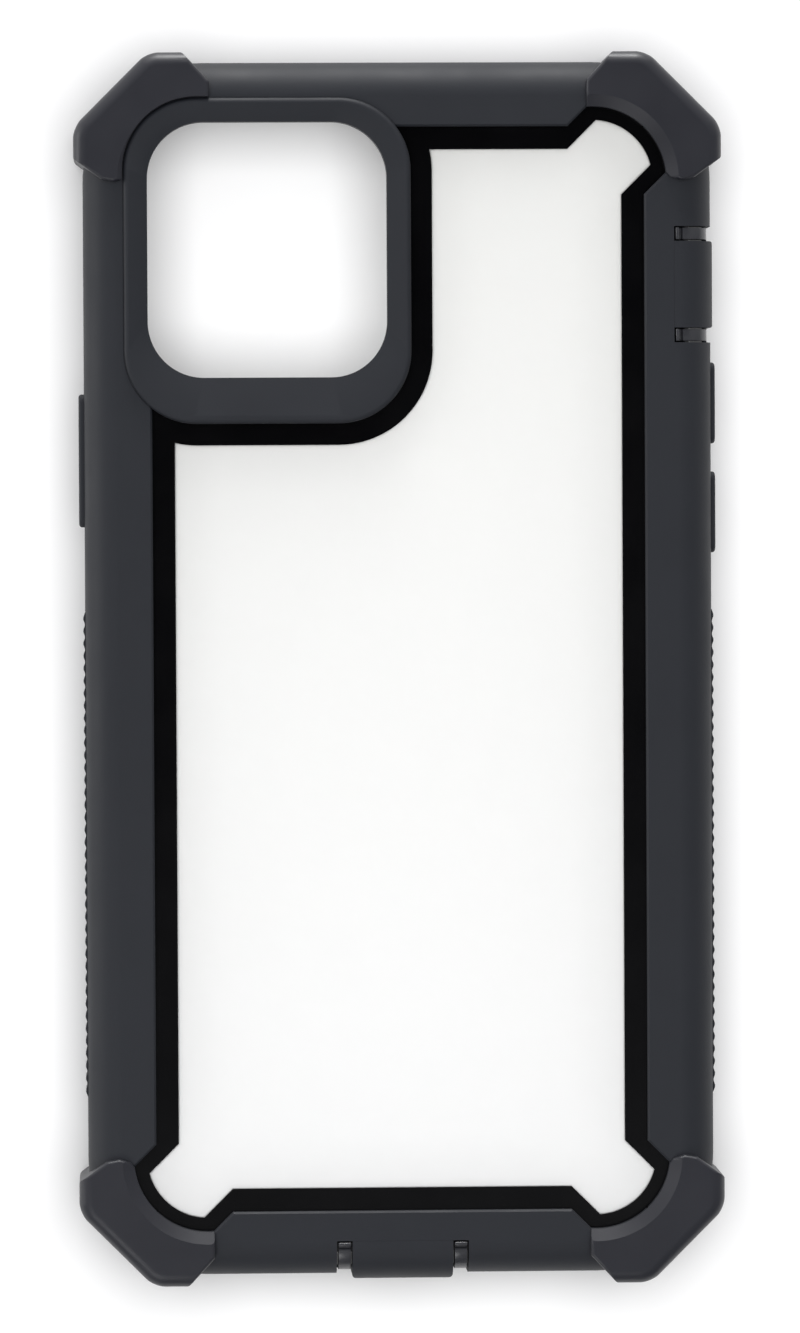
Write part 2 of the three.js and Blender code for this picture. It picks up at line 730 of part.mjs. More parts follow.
function guardOutline(signX, signY) {
  const slanted = guardSlant - guardEdge;
  const sideTip = GUARD_SIDE_TIP.map(([inside, y]) => [skinRadius - inside, y]);
  const endTip = GUARD_END_TIP.map(([inside, x]) => [x, skinRadius - inside]);
  const quarter = [
    ...sideTip.toReversed(),
    [guardEdge, GUARD_SIDE_END, GUARD_END_ROUND],
    [guardEdge, slanted, GUARD_CORNER_ROUND],
    [slanted, guardEdge, GUARD_CORNER_ROUND],
    [GUARD_END_END, guardEdge, GUARD_END_ROUND],
    ...endTip.toReversed(),
    ...arc(notchRadius, Math.PI / 2 + GUARD_INNER_END_ANGLE, GUARD_INNER_SIDE_ANGLE),
  ];
  return outlineOf(
    quarter.map(([x, y, radius]) => [signX * (cornerX + x), signY * (cornerY + y), radius]),
  );
}

function guardEnvelope() {
  const x = cornerX + guardEdge;
  const y = cornerY + guardEdge;
  const slantX = cornerX + guardSlant - guardEdge;
  const slantY = cornerY + guardSlant - guardEdge;
  const corners = [
    [x, slantY],
    [slantX, y],
    [-slantX, y],
    [-x, slantY],
    [-x, -slantY],
    [-slantX, -y],
    [slantX, -y],
    [x, -slantY],
  ];
  return slab(outlineOf(corners.map((corner) => [...corner, GUARD_CORNER_ROUND])), 0, guardBack, {
    size: GUARD_OUTER_BEVEL,
    depth: GUARD_BEVEL_DEPTH,
    steps: 2,
  });
}

function cornerGuard(signX, signY) {
  const x = signX * cornerX;
  const y = signY * cornerY;
  const frontRadius = PHONE_CORNER_RADIUS + GUARD_FRONT_OUTSIDE_PHONE;
  const round = new THREE.Shape().absarc(x, y, notchRadius, 0, 2 * Math.PI);
  const frontRound = new THREE.Shape().absarc(x, y, frontRadius, 0, 2 * Math.PI);
  const crescent = slab(guardOutline(signX, signY), 0, guardBack, {
    size: GUARD_STEP_BEVEL,
    steps: 1,
  });
  return without(crescent.intersect(guardEnvelope()), [
    skinForm(BOND_GAP),
    pit(round, guardBack - GUARD_BEVEL_DEPTH, guardBack, GUARD_INNER_BEVEL),
    slab(frontRound, -PAST, phoneMiddle),
    slab(ringOutline(BOND_GAP), phoneMiddle, guardBack + PAST),
  ]);
}

const phoneCase = new THREE.Group();
phoneCase.add(
  meshOf("outer_skin", outerSkin(), rubber),
  meshOf("inner_shell", innerShell(), glossBlack),
  meshOf("clear_back_panel", clearBackPanel(), clearPlastic),
  meshOf("panel_adhesive", panelAdhesive(), tape),
  meshOf("front_frame", frontFrame(), satinBlack),
  meshOf("camera_ring", cameraRing(), rubber),
);

const guards = new THREE.Group();
guards.add(
  meshOf("corner_guard_top_left", cornerGuard(-1, 1), guardRubber),
  meshOf("corner_guard_top_right", cornerGuard(1, 1), guardRubber),
  meshOf("corner_guard_bottom_left", cornerGuard(-1, -1), guardRubber),
  meshOf("corner_guard_bottom_right", cornerGuard(1, -1), guardRubber),
);
phoneCase.add(guards);

Object.entries(BUTTONS).forEach(([name, button]) => {
  const mesh = meshOf(name, buttonSolid(button), rubber);
  phoneCase.add(placeOnEdge(mesh, button.edge, phoneTop - button.fromTop));
});

const switchFlap = meshOf("mute_switch_flap", flapSolid(FLAPS.switch), rubber);
phoneCase.add(placeOnEdge(switchFlap, FLAPS.switch.edge, FLAPS.switch.along));
const portFlap = meshOf("charge_port_flap", flapSolid(FLAPS.port), rubber);
phoneCase.add(placeOnEdge(portFlap, FLAPS.port.edge, FLAPS.port.along));

["left", "right"].forEach((edge) => {
  phoneCase.add(placeOnEdge(meshOf(edge + "_grip_strip", gripSolid(), rubber), edge, gripAlong));
});

export default phoneCase;
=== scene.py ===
"""A rugged two-layer phone case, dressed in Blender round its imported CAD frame.

The case lies on its front, so the back of the case faces up. Seen from the back, +X is right and
+Y is the phone's top. Forms are shaped in millimetres and leave the bench in metres.
"""

from __future__ import annotations

import json
import logging
import math
from collections.abc import Callable, Iterable, Sequence
from dataclasses import dataclass
from enum import Enum

import bmesh
import bpy
from mathutils import Matrix, Vector

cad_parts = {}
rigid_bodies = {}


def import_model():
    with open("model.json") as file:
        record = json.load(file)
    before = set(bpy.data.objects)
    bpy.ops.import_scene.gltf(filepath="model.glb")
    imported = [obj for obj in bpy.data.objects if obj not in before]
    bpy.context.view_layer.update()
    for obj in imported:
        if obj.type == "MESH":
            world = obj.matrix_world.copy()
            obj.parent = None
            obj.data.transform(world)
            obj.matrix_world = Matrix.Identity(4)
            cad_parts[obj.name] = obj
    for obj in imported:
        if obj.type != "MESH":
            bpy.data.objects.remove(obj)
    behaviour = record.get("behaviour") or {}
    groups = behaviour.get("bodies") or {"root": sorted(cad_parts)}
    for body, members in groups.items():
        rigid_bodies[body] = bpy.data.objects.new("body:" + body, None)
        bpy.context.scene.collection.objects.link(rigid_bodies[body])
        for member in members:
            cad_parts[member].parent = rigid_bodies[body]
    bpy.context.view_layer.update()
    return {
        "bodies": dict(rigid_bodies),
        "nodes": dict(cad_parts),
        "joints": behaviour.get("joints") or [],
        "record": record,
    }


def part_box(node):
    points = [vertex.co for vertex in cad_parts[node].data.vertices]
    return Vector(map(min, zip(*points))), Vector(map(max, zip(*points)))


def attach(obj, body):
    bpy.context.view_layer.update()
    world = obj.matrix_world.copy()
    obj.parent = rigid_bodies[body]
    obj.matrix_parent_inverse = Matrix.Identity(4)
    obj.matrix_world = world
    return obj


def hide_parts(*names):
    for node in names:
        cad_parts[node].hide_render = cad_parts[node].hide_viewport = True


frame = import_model()

LOG = logging.getLogger("phone_case")
MM = 1e-3
MICRON = 1e-6
NEAR = 1e-3  # Two points closer than this are one point.
PAST = 5.0  # How far a cutter reaches past what it cuts.
QUARTER_STEPS = 24  # The facets of a quarter turn.
EASED = 0.12  # The least rounding of a sharp moulded edge.
NOISE_RANGE = (0.3, 0.7)  # Nearly all of a noise texture's values lie between these.
ORDER_GRID = 7.3e-4  # The step to which places are rounded before they are put in order.
FLAT = math.radians(10)  # Faces that turn less than this belong to one surface.


# ---------------------------------------------------------------------------------------------
# The bench: closed solids, shaped by bmesh operators.
# ---------------------------------------------------------------------------------------------


@dataclass(frozen=True)
class Corner:
    """A corner of an outline, with the radius of the arc that rounds it."""

    x: float
    y: float
    radius: float = 0.0

    @property
    def point(self) -> Vector:
        """The corner's place in the outline's plane."""
        return Vector((self.x, self.y))


@dataclass(frozen=True)
class Span:
    """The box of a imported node, in millimetres."""

    low: Vector
    high: Vector

    @classmethod
    def of(cls, node: str) -> Span:
        """Reads a node's box from the frame.

        Args:
            node: The name of the CAD node.

        Returns:
            Its box, in millimetres.
        """
        low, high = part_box(node)
        return cls(low / MM, high / MM)

    @property
    def middle(self) -> Vector:
        """The middle of the box."""
        return (self.low + self.high) / 2


class Join(Enum):
    """How one form acts on another."""

    ADD = "UNION"
    CUT = "DIFFERENCE"
    KEEP = "INTERSECT"


class Form:
    """A closed solid on the bench, in millimetres."""

    def __init__(self, bm: bmesh.types.BMesh) -> None:
        """Takes over a bmesh that holds one or more closed shells.

        Args:
            bm: The mesh to shape.
        """
        self.bm = bm

    @classmethod
    def prism(cls, corners: Sequence[Corner], low: float, high: float) -> Form:
        """Raises an outline into a solid and rounds its upright edges.

        Args:
            corners: The outline's corners, in order.
            low: The height of its foot.
            high: The height of its top.

        Returns:
            The solid.
        """
        bm = bmesh.new()
        base = [bm.verts.new((corner.x, corner.y, low)) for corner in corners]
        raised = bmesh.ops.extrude_face_region(bm, geom=[bm.faces.new(base)])["geom"]
        top = [item for item in raised if isinstance(item, bmesh.types.BMVert)]
        bmesh.ops.translate(bm, vec=(0, 0, high - low), verts=top)
        bmesh.ops.recalc_face_normals(bm, faces=bm.faces[:])
        groups: dict[tuple[float, int], list[bmesh.types.BMEdge]] = {}
        for index, (corner, vert) in enumerate(zip(corners, base)):
            if corner.radius <= 0:
                continue
            back = corners[index - 1].point - corner.point
            ahead = corners[(index + 1) % len(corners)].point - corner.point
            inside = back.angle(ahead)
            steps = max(3, round(QUARTER_STEPS * (math.pi - inside) / (math.pi / 2)))
            upright = next(
                edge
                for edge in vert.link_edges
                if abs(edge.other_vert(vert).co.z - low) > NEAR
            )
            key = (round(corner.radius / math.tan(inside / 2), 6), steps)
            groups.setdefault(key, []).append(upright)
        for (offset, steps), edges in groups.items():
            bevel(bm, edges, offset, steps)
        put_in_order(bm)
        return cls(bm)

    @classmethod
    def disc(cls, x: float, y: float, radius: float, low: float, high: float) -> Form:
        """Makes a round cylinder that stands upright.

        Args:
            x: Its middle across.
            y: Its middle along.
            radius: Its radius.
            low: The height of its foot.
            high: The height of its top.

        Returns:
            The cylinder.
        """
        bm = bmesh.new()
        bmesh.ops.create_cone(
            bm,
            cap_ends=True,
            segments=4 * QUARTER_STEPS,
            radius1=radius,
            radius2=radius,
            depth=high - low,
            matrix=Matrix.Translation((x, y, (low + high) / 2)),
        )
        return cls(bm)

    @classmethod
    def box(cls, low: Sequence[float], high: Sequence[float]) -> Form:
        """Makes a box between two corners.

        Args:
            low: Its lowest corner.
            high: Its highest corner.

        Returns:
            The box.
        """
        bm = bmesh.new()
        size = Vector(high) - Vector(low)
        place = Matrix.Translation((Vector(low) + Vector(high)) / 2)
        bmesh.ops.create_cube(bm, size=1, matrix=place @ Matrix.Diagonal(size).to_4x4())
        return cls(bm)

    def move(self, matrix: Matrix) -> Form:
        """Moves the form.

        Args:
            matrix: Where it goes.

        Returns:
            The form itself.
        """
        bmesh.ops.transform(self.bm, matrix=matrix, verts=self.bm.verts[:])
        if matrix.determinant() < 0:
            bmesh.ops.reverse_faces(self.bm, faces=self.bm.faces[:])
        return self

    def rim(self, height: float) -> list[bmesh.types.BMEdge]:
        """Finds the edges round a level face.

        Args:
            height: The height of the face.

        Returns:
            The edges that bound it.
        """
        return [
            edge
            for edge in self.bm.edges
            if all(abs(vert.co.z - height) < NEAR for vert in edge.verts)
            and len(edge.link_faces) == 2
            and edge.calc_face_angle() > FLAT
        ]

    def round_rim(self, height: float, radius: float, steps: int) -> Form:
        """Rounds the edge round a level face.

        Args:
            height: The height of the face.
            radius: The radius of the rounding.
            steps: How many facets it has.

        Returns:
            The form itself.
        """
        bevel(self.bm, self.rim(height), radius, steps)
        put_in_order(self.bm)
        return self

    def soften(
        self,
        radius: float,
        steps: int = 2,
        sharper: float = 32.0,
        spared: Callable[[Vector], bool] = lambda point: False,
    ) -> Form:
        """Rounds every edge that is sharper than an angle.

        Args:
            radius: The radius of the rounding.
            steps: How many facets it has.
            sharper: The least angle between an edge's faces, in degrees.
            spared: Says whether an edge with its middle at a point stays sharp.

        Returns:
            The form itself.
        """
        sharp = [
            edge
            for edge in self.bm.edges
            if len(edge.link_faces) == 2
            and edge.calc_face_angle() > math.radians(sharper)
            and not spared((edge.verts[0].co + edge.verts[1].co) / 2)
        ]
        bevel(self.bm, sharp, radius, steps, clamp=True)
        put_in_order(self.bm)
        return self

    def trim(self, point: Sequence[float], away: Sequence[float]) -> Form:
        """Cuts off what lies beyond a plane and closes the cut.

        Args:
            point: A point of the plane.
            away: The plane's direction, out of what stays.

        Returns:
            The form itself.
        """
        whole = self.bm.verts[:] + self.bm.edges[:] + self.bm.faces[:]
        cut = bmesh.ops.bisect_plane(
            self.bm, geom=whole, plane_co=point, plane_no=away, clear_outer=True
        )["geom_cut"]
        edges = [item for item in cut if isinstance(item, bmesh.types.BMEdge)]
        bmesh.ops.holes_fill(self.bm, edges=edges)
        bmesh.ops.recalc_face_normals(self.bm, faces=self.bm.faces[:])
        return self

    def with_form(self, join: Join, others: Iterable[Form]) -> Form:
        """Adds, cuts or keeps by other forms, one after another.

        Args:
            join: What the others do.
            others: The other forms, which are used up.

        Returns:
            The form itself.
        """
        for other in others:
            target, tool = self.on_bench(), other.on_bench()
            modifier = target.modifiers.new("join", "BOOLEAN")
            modifier.object = tool
            modifier.operation = join.value
            modifier.solver = "MANIFOLD"
            depsgraph = bpy.context.evaluated_depsgraph_get()
            result = bpy.data.meshes.new_from_object(target.evaluated_get(depsgraph))
            self.bm.clear()
            self.bm.from_mesh(result)
            bmesh.ops.remove_doubles(self.bm, verts=self.bm.verts[:], dist=NEAR)
            put_in_order(self.bm)
            for thing in (target, tool):
                bpy.data.meshes.remove(thing.data)
            bpy.data.meshes.remove(result)
            other.bm.free()
        return self

    def add(self, *others: Form) -> Form:
        """Joins other forms to this one."""
        return self.with_form(Join.ADD, others)

    def cut(self, *others: Form) -> Form:
        """Cuts other forms out of this one."""
        return self.with_form(Join.CUT, others)

    def keep(self, *others: Form) -> Form:
        """Keeps what this form shares with each other form."""
        return self.with_form(Join.KEEP, others)

    def on_bench(self) -> bpy.types.Object:
        """Lays the form in the scene, as it is now.

        Returns:
            The scene object that holds it.
        """
        mesh = bpy.data.meshes.new("bench")
        self.bm.to_mesh(mesh)
        bench = bpy.data.objects.new("bench", mesh)
        bpy.context.scene.collection.objects.link(bench)
        return bench

    def finished(self, name: str, crease: float = 30.0) -> bpy.types.Object:
        """Takes the form off the bench as a named piece, in metres.

        Args:
            name: The piece's name.
            crease: The angle between two faces past which their edge stays sharp, in degrees.

        Returns:
            The piece, whose normals follow its large faces.
        """
        bmesh.ops.remove_doubles(self.bm, verts=self.bm.verts[:], dist=NEAR)
        bmesh.ops.dissolve_degenerate(self.bm, dist=NEAR, edges=self.bm.edges[:])
        put_in_order(self.bm)
        bmesh.ops.transform(
            self.bm, matrix=Matrix.Diagonal((MM, MM, MM, 1)), verts=self.bm.verts[:]
        )
        bmesh.ops.recalc_face_normals(self.bm, faces=self.bm.faces[:])
        mesh = bpy.data.meshes.new(name)
        self.bm.to_mesh(mesh)
        self.bm.free()
        mesh.shade_smooth()
        mesh.set_sharp_from_angle(angle=math.radians(crease))
        piece = bpy.data.objects.new(name, mesh)
        bpy.context.scene.collection.objects.link(piece)
        weighted = piece.modifiers.new("Weighted normals", "WEIGHTED_NORMAL")
        weighted.keep_sharp = True
        weighted.weight = 100
        return piece


def put_in_order(bm: bmesh.types.BMesh) -> None:
    """Orders a mesh's elements by their places, so that every run works on them alike.

    Args:
        bm: The mesh.
    """
    for elements, place in (
        (bm.verts, lambda vert: vert.co),
        (bm.edges, lambda edge: edge.verts[0].co + edge.verts[1].co),
        (bm.faces, lambda face: face.calc_center_median()),
    ):
        elements.index_update()
        places = [tuple(round(part / ORDER_GRID) for part in place(item)) for item in elements]
        in_order = sorted(range(len(places)), key=places.__getitem__)
        ranks = {index: rank for rank, index in enumerate(in_order)}
        elements.sort(key=lambda item: ranks[item.index])
        elements.index_update()


def bevel(
    bm: bmesh.types.BMesh,
    edges: list[bmesh.types.BMEdge],
    radius: float,
    steps: int,
    clamp: bool = False,
) -> None:
    """Rounds edges.

    Args:
        bm: The mesh that holds them.
        edges: The edges to round.
        radius: How far the rounding reaches from each edge.
        steps: How many facets it has.
        clamp: Whether it narrows where two roundings would meet.
    """
    bmesh.ops.bevel(
        bm,
        geom=edges,
        offset=radius,
        offset_type="OFFSET",
        segments=steps,
        profile=0.5,
        affect="EDGES",
        clamp_overlap=clamp,
        material=-1,
    )
    bmesh.ops.remove_doubles(bm, verts=bm.verts[:], dist=NEAR / 4)


def rectangle(left: float, right: float, low: float, high: float, radius: float) -> list[Corner]:
    """An upright rectangle with rounded corners.

    Args:
        left: Its left side.
        right: Its right side.
        low: Its lower side.
        high: Its upper side.
        radius: The radius of its corners.

    Returns:
        The outline's corners, in order.
    """
    return [
        Corner(left, low, radius),
        Corner(right, low, radius),
        Corner(right, high, radius),
        Corner(left, high, radius),
    ]


# ---------------------------------------------------------------------------------------------
# Sizes that the sub-assemblies share.
# ---------------------------------------------------------------------------------------------


@dataclass(frozen=True)
class Phone:
    """The phone that the case holds, and the layers round it, in millimetres."""

    half_width: float = 35.75
    half_length: float = 73.35
    corner_radius: float = 10.75
    clearance: float = 0.2
    gap: float = 0.1
    moving_gap: float = 0.2
    bond_gap: float = 0.15
    seam: float = 0.03
    shell_out: float = 1.8
    skin_in: float = 1.9
    lip_back: float = 1.6
    frame_back: float = 2.8
    back: float = 10.4
    middle: float = 6.6

    @property
    def corner_x(self) -> float:
        """How far the middle of a corner's arc is from the middle of the case, across."""
        return self.half_width - self.corner_radius

    @property
    def corner_y(self) -> float:
        """How far the middle of a corner's arc is from the middle of the case, along."""
        return self.half_length - self.corner_radius

    def around(self, offset: float, low: float, high: float) -> Form:
        """The phone's outline, grown outwards, as a solid.

        Args:
            offset: How far it is grown.
            low: The height of its foot.
            high: The height of its top.

        Returns:
            The solid.
        """
        x, y = self.half_width + offset, self.half_length + offset
        return Form.prism(rectangle(-x, x, -y, y, self.corner_radius + offset), low, high)


PHONE = Phone()


class Edge(Enum):
    """An edge of the case, as the turn that brings the bottom edge to it."""

    BOTTOM = 0.0
    RIGHT = 90.0
    TOP = 180.0
    LEFT = -90.0

    def place(self, along: float) -> Matrix:
        """Where a feature stands on this edge: its own -Y points out of the case.

        Args:
            along: Its place on the edge's own axis of the case.

        Returns:
            The matrix that brings it there, from the phone's side at the bottom edge.
        """
        at = {
            Edge.BOTTOM: (along, -PHONE.half_length, 0),
            Edge.TOP: (along, PHONE.half_length, 0),
            Edge.RIGHT: (PHONE.half_width, along, 0),
            Edge.LEFT: (-PHONE.half_width, along, 0),
        }[self]
        return Matrix.Translation(at) @ Matrix.Rotation(math.radians(self.value), 4, "Z")


SWEEP = Matrix(((0, 0, -1, 0), (-1, 0, 0, 0), (0, 1, 0, 0), (0, 0, 0, 1)))
PIERCE = Matrix(((1, 0, 0, 0), (0, 0, -1, 0), (0, 1, 0, 0), (0, 0, 0, 1)))


def swept(section: Sequence[Corner], length: float) -> Form:
    """A section drawn as (distance out, height), swept along the bottom edge.

    Args:
        section: The section's corners.
        length: How long it is, half to each side of the middle.

    Returns:
        The solid, at the bottom edge's own origin.
    """
    return Form.prism(section, -length / 2, length / 2).move(SWEEP)


def through(outline: Sequence[Corner], inner: float, outer: float) -> Form:
    """An outline drawn as (along, height), pushed outwards through the bottom edge's wall.

    Args:
        outline: The outline's corners.
        inner: Where it starts, from the phone's side.
        outer: Where it ends.

    Returns:
        The solid, at the bottom edge's own origin.
    """
    return Form.prism(outline, inner, outer).move(PIERCE)


def on_side(width: float, height: float, radius: float) -> list[Corner]:
    """A rounded rectangle drawn as (along, height), level with the middle of the case's side.

    Args:
        width: Its width along the side.
        height: Its height.
        radius: The radius of its corners.

    Returns:
        The outline's corners, in order.
    """
    low, high = PHONE.middle - height / 2, PHONE.middle + height / 2
    return rectangle(-width / 2, width / 2, low, high, radius)


@dataclass(frozen=True)
class Notched:
    """An opening with straight sides and a slanted notch, ended by an arc, at each corner."""

    half_width: float
    half_length: float
    radius: float
    from_side: float = 3.2
    from_end: float = 1.8

    def forms(self, low: float, high: float, offset: float = 0.0, flare: float = 0.0) -> list[Form]:
        """The opening as solids that overlap: one for its sides and one for each pair of notches.

        Args:
            low: The height of their feet.
            high: The height of their tops.
            offset: How far the opening is grown.
            flare: How far it widens upwards just above its foot.

        Returns:
            The solids.
        """
        x, y = self.half_width + offset + flare, self.half_length + offset + flare
        forms = [Form.prism(rectangle(-x, x, -y, y, 0), low, high)]
        reach = math.sqrt(2) * (offset + flare)
        near = (PHONE.corner_y - self.from_end) - self.half_width - reach
        far = self.half_length - (PHONE.corner_x - self.from_side) + reach
        for side in (-1, 1):
            for end in (-1, 1):
                radius = self.radius + offset + flare
                disc = Form.disc(
                    side * PHONE.corner_x, end * PHONE.corner_y, radius, low, high
                )
                slant = Vector((side, -end, 0))
                disc.trim((0, end * near, 0), slant).trim((0, end * far, 0), -slant)
                forms.append(disc)
        if flare:
            for form in forms:
                form.round_rim(low, flare, 1)
        return forms


def whole(forms: Sequence[Form]) -> Form:
    """Joins forms that overlap into one.

    Args:
        forms: The forms, which are used up.

    Returns:
        The one form.
    """
    return forms[0].add(*forms[1:])


# ---------------------------------------------------------------------------------------------
# Finishes.
# ---------------------------------------------------------------------------------------------


def linear(colour: str) -> tuple[float, float, float, float]:
    """Turns an sRGB hex colour into the linear values that a shader reads.

    Args:
        colour: Six hex digits, with or without a leading hash.

    Returns:
        Red, green, blue and an alpha of one.
    """
    digits = colour.lstrip("#")
    parts = [int(digits[at : at + 2], 16) / 255 for at in (0, 2, 4)]
    low_end = 0.04045
    red, green, blue = (
        part / 12.92 if part <= low_end else ((part + 0.055) / 1.055) ** 2.4 for part in parts
    )
    return red, green, blue, 1.0


def add_node(
    tree: bpy.types.NodeTree,
    kind: str,
    inputs: dict[str | int, object] | None = None,
    **settings: object,
) -> bpy.types.Node:
    """Adds a node with its settings, values and links.

    Args:
        tree: The tree that it joins.
        kind: The node's type.
        inputs: A value, or a socket to link, for each input by name or place.
        **settings: The node's own properties.

    Returns:
        The node.
    """
    made = tree.nodes.new(kind)
    for name, value in settings.items():
        setattr(made, name, value)
    for key, value in (inputs or {}).items():
        if isinstance(value, bpy.types.NodeSocket):
            tree.links.new(value, made.inputs[key])
        else:
            made.inputs[key].default_value = value
    return made


def blank_material(name: str) -> tuple[bpy.types.Material, bpy.types.NodeTree, bpy.types.Node]:
    """Makes a material with only its output.

    Args:
        name: The material's name.

    Returns:
        The material, its node tree and its output node.
    """
    material = bpy.data.materials.new(name)
    material.use_nodes = True
    tree = material.node_tree
    tree.nodes.clear()
    return material, tree, add_node(tree, "ShaderNodeOutputMaterial")


@dataclass(frozen=True)
class MouldedPlastic:
    """A moulded polymer: its colour drifts a little, and its mould left a grain on it.

    The grain and the drift are sized in millimetres, and the grain's depth in micrometres.
    """

    name: str
    colour: str
    drift_colour: str
    roughness: float
    roughness_drift: float
    ior: float
    specular: float
    grain: float
    grain_depth: float
    wave: float
    wave_depth: float
    drift: float = 9.0

    def material(self) -> bpy.types.Material:
        """Builds the finish as a node material on Object coordinates.

        Returns:
            The material.
        """
        material, tree, output = blank_material(self.name)
        place = add_node(tree, "ShaderNodeTexCoord").outputs["Object"]
        drift, grain, wave = (
            add_node(
                tree,
                "ShaderNodeTexNoise",
                {"Vector": place, "Scale": 1 / (size * MM), "Detail": detail, "Roughness": rough},
            ).outputs[0]
            for size, detail, rough in (
                (self.drift, 4.0, 0.6),
                (self.grain, 2.0, 0.55),
                (self.wave, 1.0, 0.5),
            )
        )
        tint = add_node(
            tree,
            "ShaderNodeMix",
            {0: drift, 6: linear(self.colour), 7: linear(self.drift_colour)},
            data_type="RGBA",
        )
        rough = add_node(
            tree,
            "ShaderNodeMapRange",
            {
                "Value": drift,
                "From Min": NOISE_RANGE[0],
                "From Max": NOISE_RANGE[1],
                "To Min": self.roughness - self.roughness_drift,
                "To Max": self.roughness + self.roughness_drift,
            },
        )
        relief: dict[str, object] = {}
        for height, depth in ((wave, self.wave_depth), (grain, self.grain_depth)):
            swell = {"Strength": 1.0, "Distance": depth * MICRON, "Height": height}
            bump = add_node(tree, "ShaderNodeBump", {**swell, **relief})
            relief = {"Normal": bump.outputs[0]}
        shader = add_node(
            tree,
            "ShaderNodeBsdfPrincipled",
            {
                "Base Color": tint.outputs[2],
                "Roughness": rough.outputs[0],
                "IOR": self.ior,
                "Specular IOR Level": self.specular,
                **relief,
            },
        )
        tree.links.new(shader.outputs[0], output.inputs["Surface"])
        return material


@dataclass(frozen=True)
class ClearSheet:
    """A hard clear sheet, polished on both faces, under a faint white haze of painted light.

    The white haze is painted light: it makes the window as white as the lit table, over the
    shade that falls under the case. It is painted greyer towards one end, as painted shade. The
    sheet's length and its specks are sized in millimetres, and the roughness varies by a share of
    itself.
    """

    name: str
    colour: str
    painted_shade_colour: str
    length: float
    painted_white_alpha: float
    roughness: float
    ior: float
    speck: float
    roughness_share: float = 0.3

    def material(self) -> bpy.types.Material:
        """Builds the finish as a node material on Object coordinates.

        Returns:
            The material.
        """
        material, tree, output = blank_material(self.name)
        place = add_node(tree, "ShaderNodeTexCoord").outputs["Object"]
        speck = add_node(
            tree,
            "ShaderNodeTexNoise",
            {"Vector": place, "Scale": 1 / (self.speck * MM), "Detail": 3.0},
        )
        rough = add_node(
            tree,
            "ShaderNodeMapRange",
            {
                "Value": speck.outputs[0],
                "To Min": self.roughness * (1 - self.roughness_share),
                "To Max": self.roughness * (1 + self.roughness_share),
            },
        )
        axes = add_node(tree, "ShaderNodeSeparateXYZ", {0: place})
        along = add_node(
            tree,
            "ShaderNodeMapRange",
            {
                "Value": axes.outputs["Y"],
                "From Min": -self.length * MM / 2,
                "From Max": self.length * MM / 2,
            },
        )
        # Painted shade: the haze is mixed greyer towards +Y.
        tint = add_node(
            tree,
            "ShaderNodeMix",
            {0: along.outputs[0], 6: linear(self.colour), 7: linear(self.painted_shade_colour)},
            data_type="RGBA",
        )
        # The white haze at this alpha is painted light over the shade on the table below.
        shader = add_node(
            tree,
            "ShaderNodeBsdfPrincipled",
            {
                "Base Color": tint.outputs[2],
                "Roughness": rough.outputs[0],
                "IOR": self.ior,
                "Alpha": self.painted_white_alpha,
            },
        )
        tree.links.new(shader.outputs[0], output.inputs["Surface"])
        return material


# Thermoplastic polyurethane, moulded in a spark-eroded tool: matt, dark and slightly blue, with a
# grain that is felt more than seen. The real grain, about 0.1 mm, is drawn at 0.3 mm to show.
SKIN_RUBBER = MouldedPlastic(
    name="Moulded TPU rubber",
    colour="#17191e",
    drift_colour="#1c1e23",
    roughness=0.6,
    roughness_drift=0.04,
    ior=1.5,
    specular=0.37,
    grain=0.3,
    grain_depth=12,
    wave=5,
    wave_depth=30,
)

# The same rubber at the corners, from a smoother part of the tool: a little more sheen.
GUARD_RUBBER = MouldedPlastic(
    name="Moulded TPU corner rubber",
    colour="#12131a",
    drift_colour="#17181f",
    roughness=0.47,
    roughness_drift=0.04,
    ior=1.5,
    specular=0.58,
    grain=0.3,
    grain_depth=9,
    wave=6,
    wave_depth=30,
)

# Polycarbonate moulded against a polished tool: deep black with a wet gloss and a faint ripple.
GLOSS_SHELL = MouldedPlastic(
    name="Polished black polycarbonate",
    colour="#040405",
    drift_colour="#060607",
    roughness=0.12,
    roughness_drift=0.03,
    ior=1.58,
    specular=0.5,
    grain=0.6,
    grain_depth=0.6,
    wave=12,
    wave_depth=12,
)

# Polycarbonate from a lightly etched tool: black with a soft satin reflection.
SATIN_FRAME = MouldedPlastic(
    name="Satin black polycarbonate",
    colour="#0e0e10",
    drift_colour="#121214",
    roughness=0.4,
    roughness_drift=0.04,
    ior=1.58,
    specular=0.5,
    grain=0.25,
    grain_depth=6,
    wave=8,
    wave_depth=15,
)

# The slots' stops, seen from above: the frame's plastic, left matt where the flaps brush past, and
# # painted a lighter charcoal than the frame as a painted highlight.
STOP_PLASTIC_PAINTED_HIGHLIGHT = MouldedPlastic(
    name="Matt charcoal polycarbonate",
    colour="#222327",
    drift_colour="#27282c",
    roughness=0.3,
    roughness_drift=0.04,
    ior=1.58,
    specular=0.5,
    grain=0.25,
    grain_depth=6,
    wave=8,
    wave_depth=15,
)

# Black acrylic foam tape: dull, with the open pores of the foam at its edge.
FOAM_TAPE = MouldedPlastic(
    name="Black acrylic foam tape",
    colour="#17171a",
    drift_colour="#1e1e20",
    roughness=0.85,
    roughness_drift=0.05,
    ior=1.46,
    specular=0.3,
    grain=0.2,
    grain_depth=30,
    wave=3,
    wave_depth=20,
)

# Hard-coated acrylic sheet with a white haze of painted light, which makes it nearly white from
# # above in place of the shaded white page under it; painted greyer towards +Y as painted shade;
# # glassy at a low angle.
CLEAR_PANEL = ClearSheet(
    name="Clear hard-coated acrylic",
    colour="#cfcfcf",
    painted_shade_colour="#cacac8",
    length=134,
    painted_white_alpha=0.6,
    roughness=0.06,
    ior=1.49,
    speck=0.8,
)


# ---------------------------------------------------------------------------------------------
# Sub-assemblies.
# ---------------------------------------------------------------------------------------------


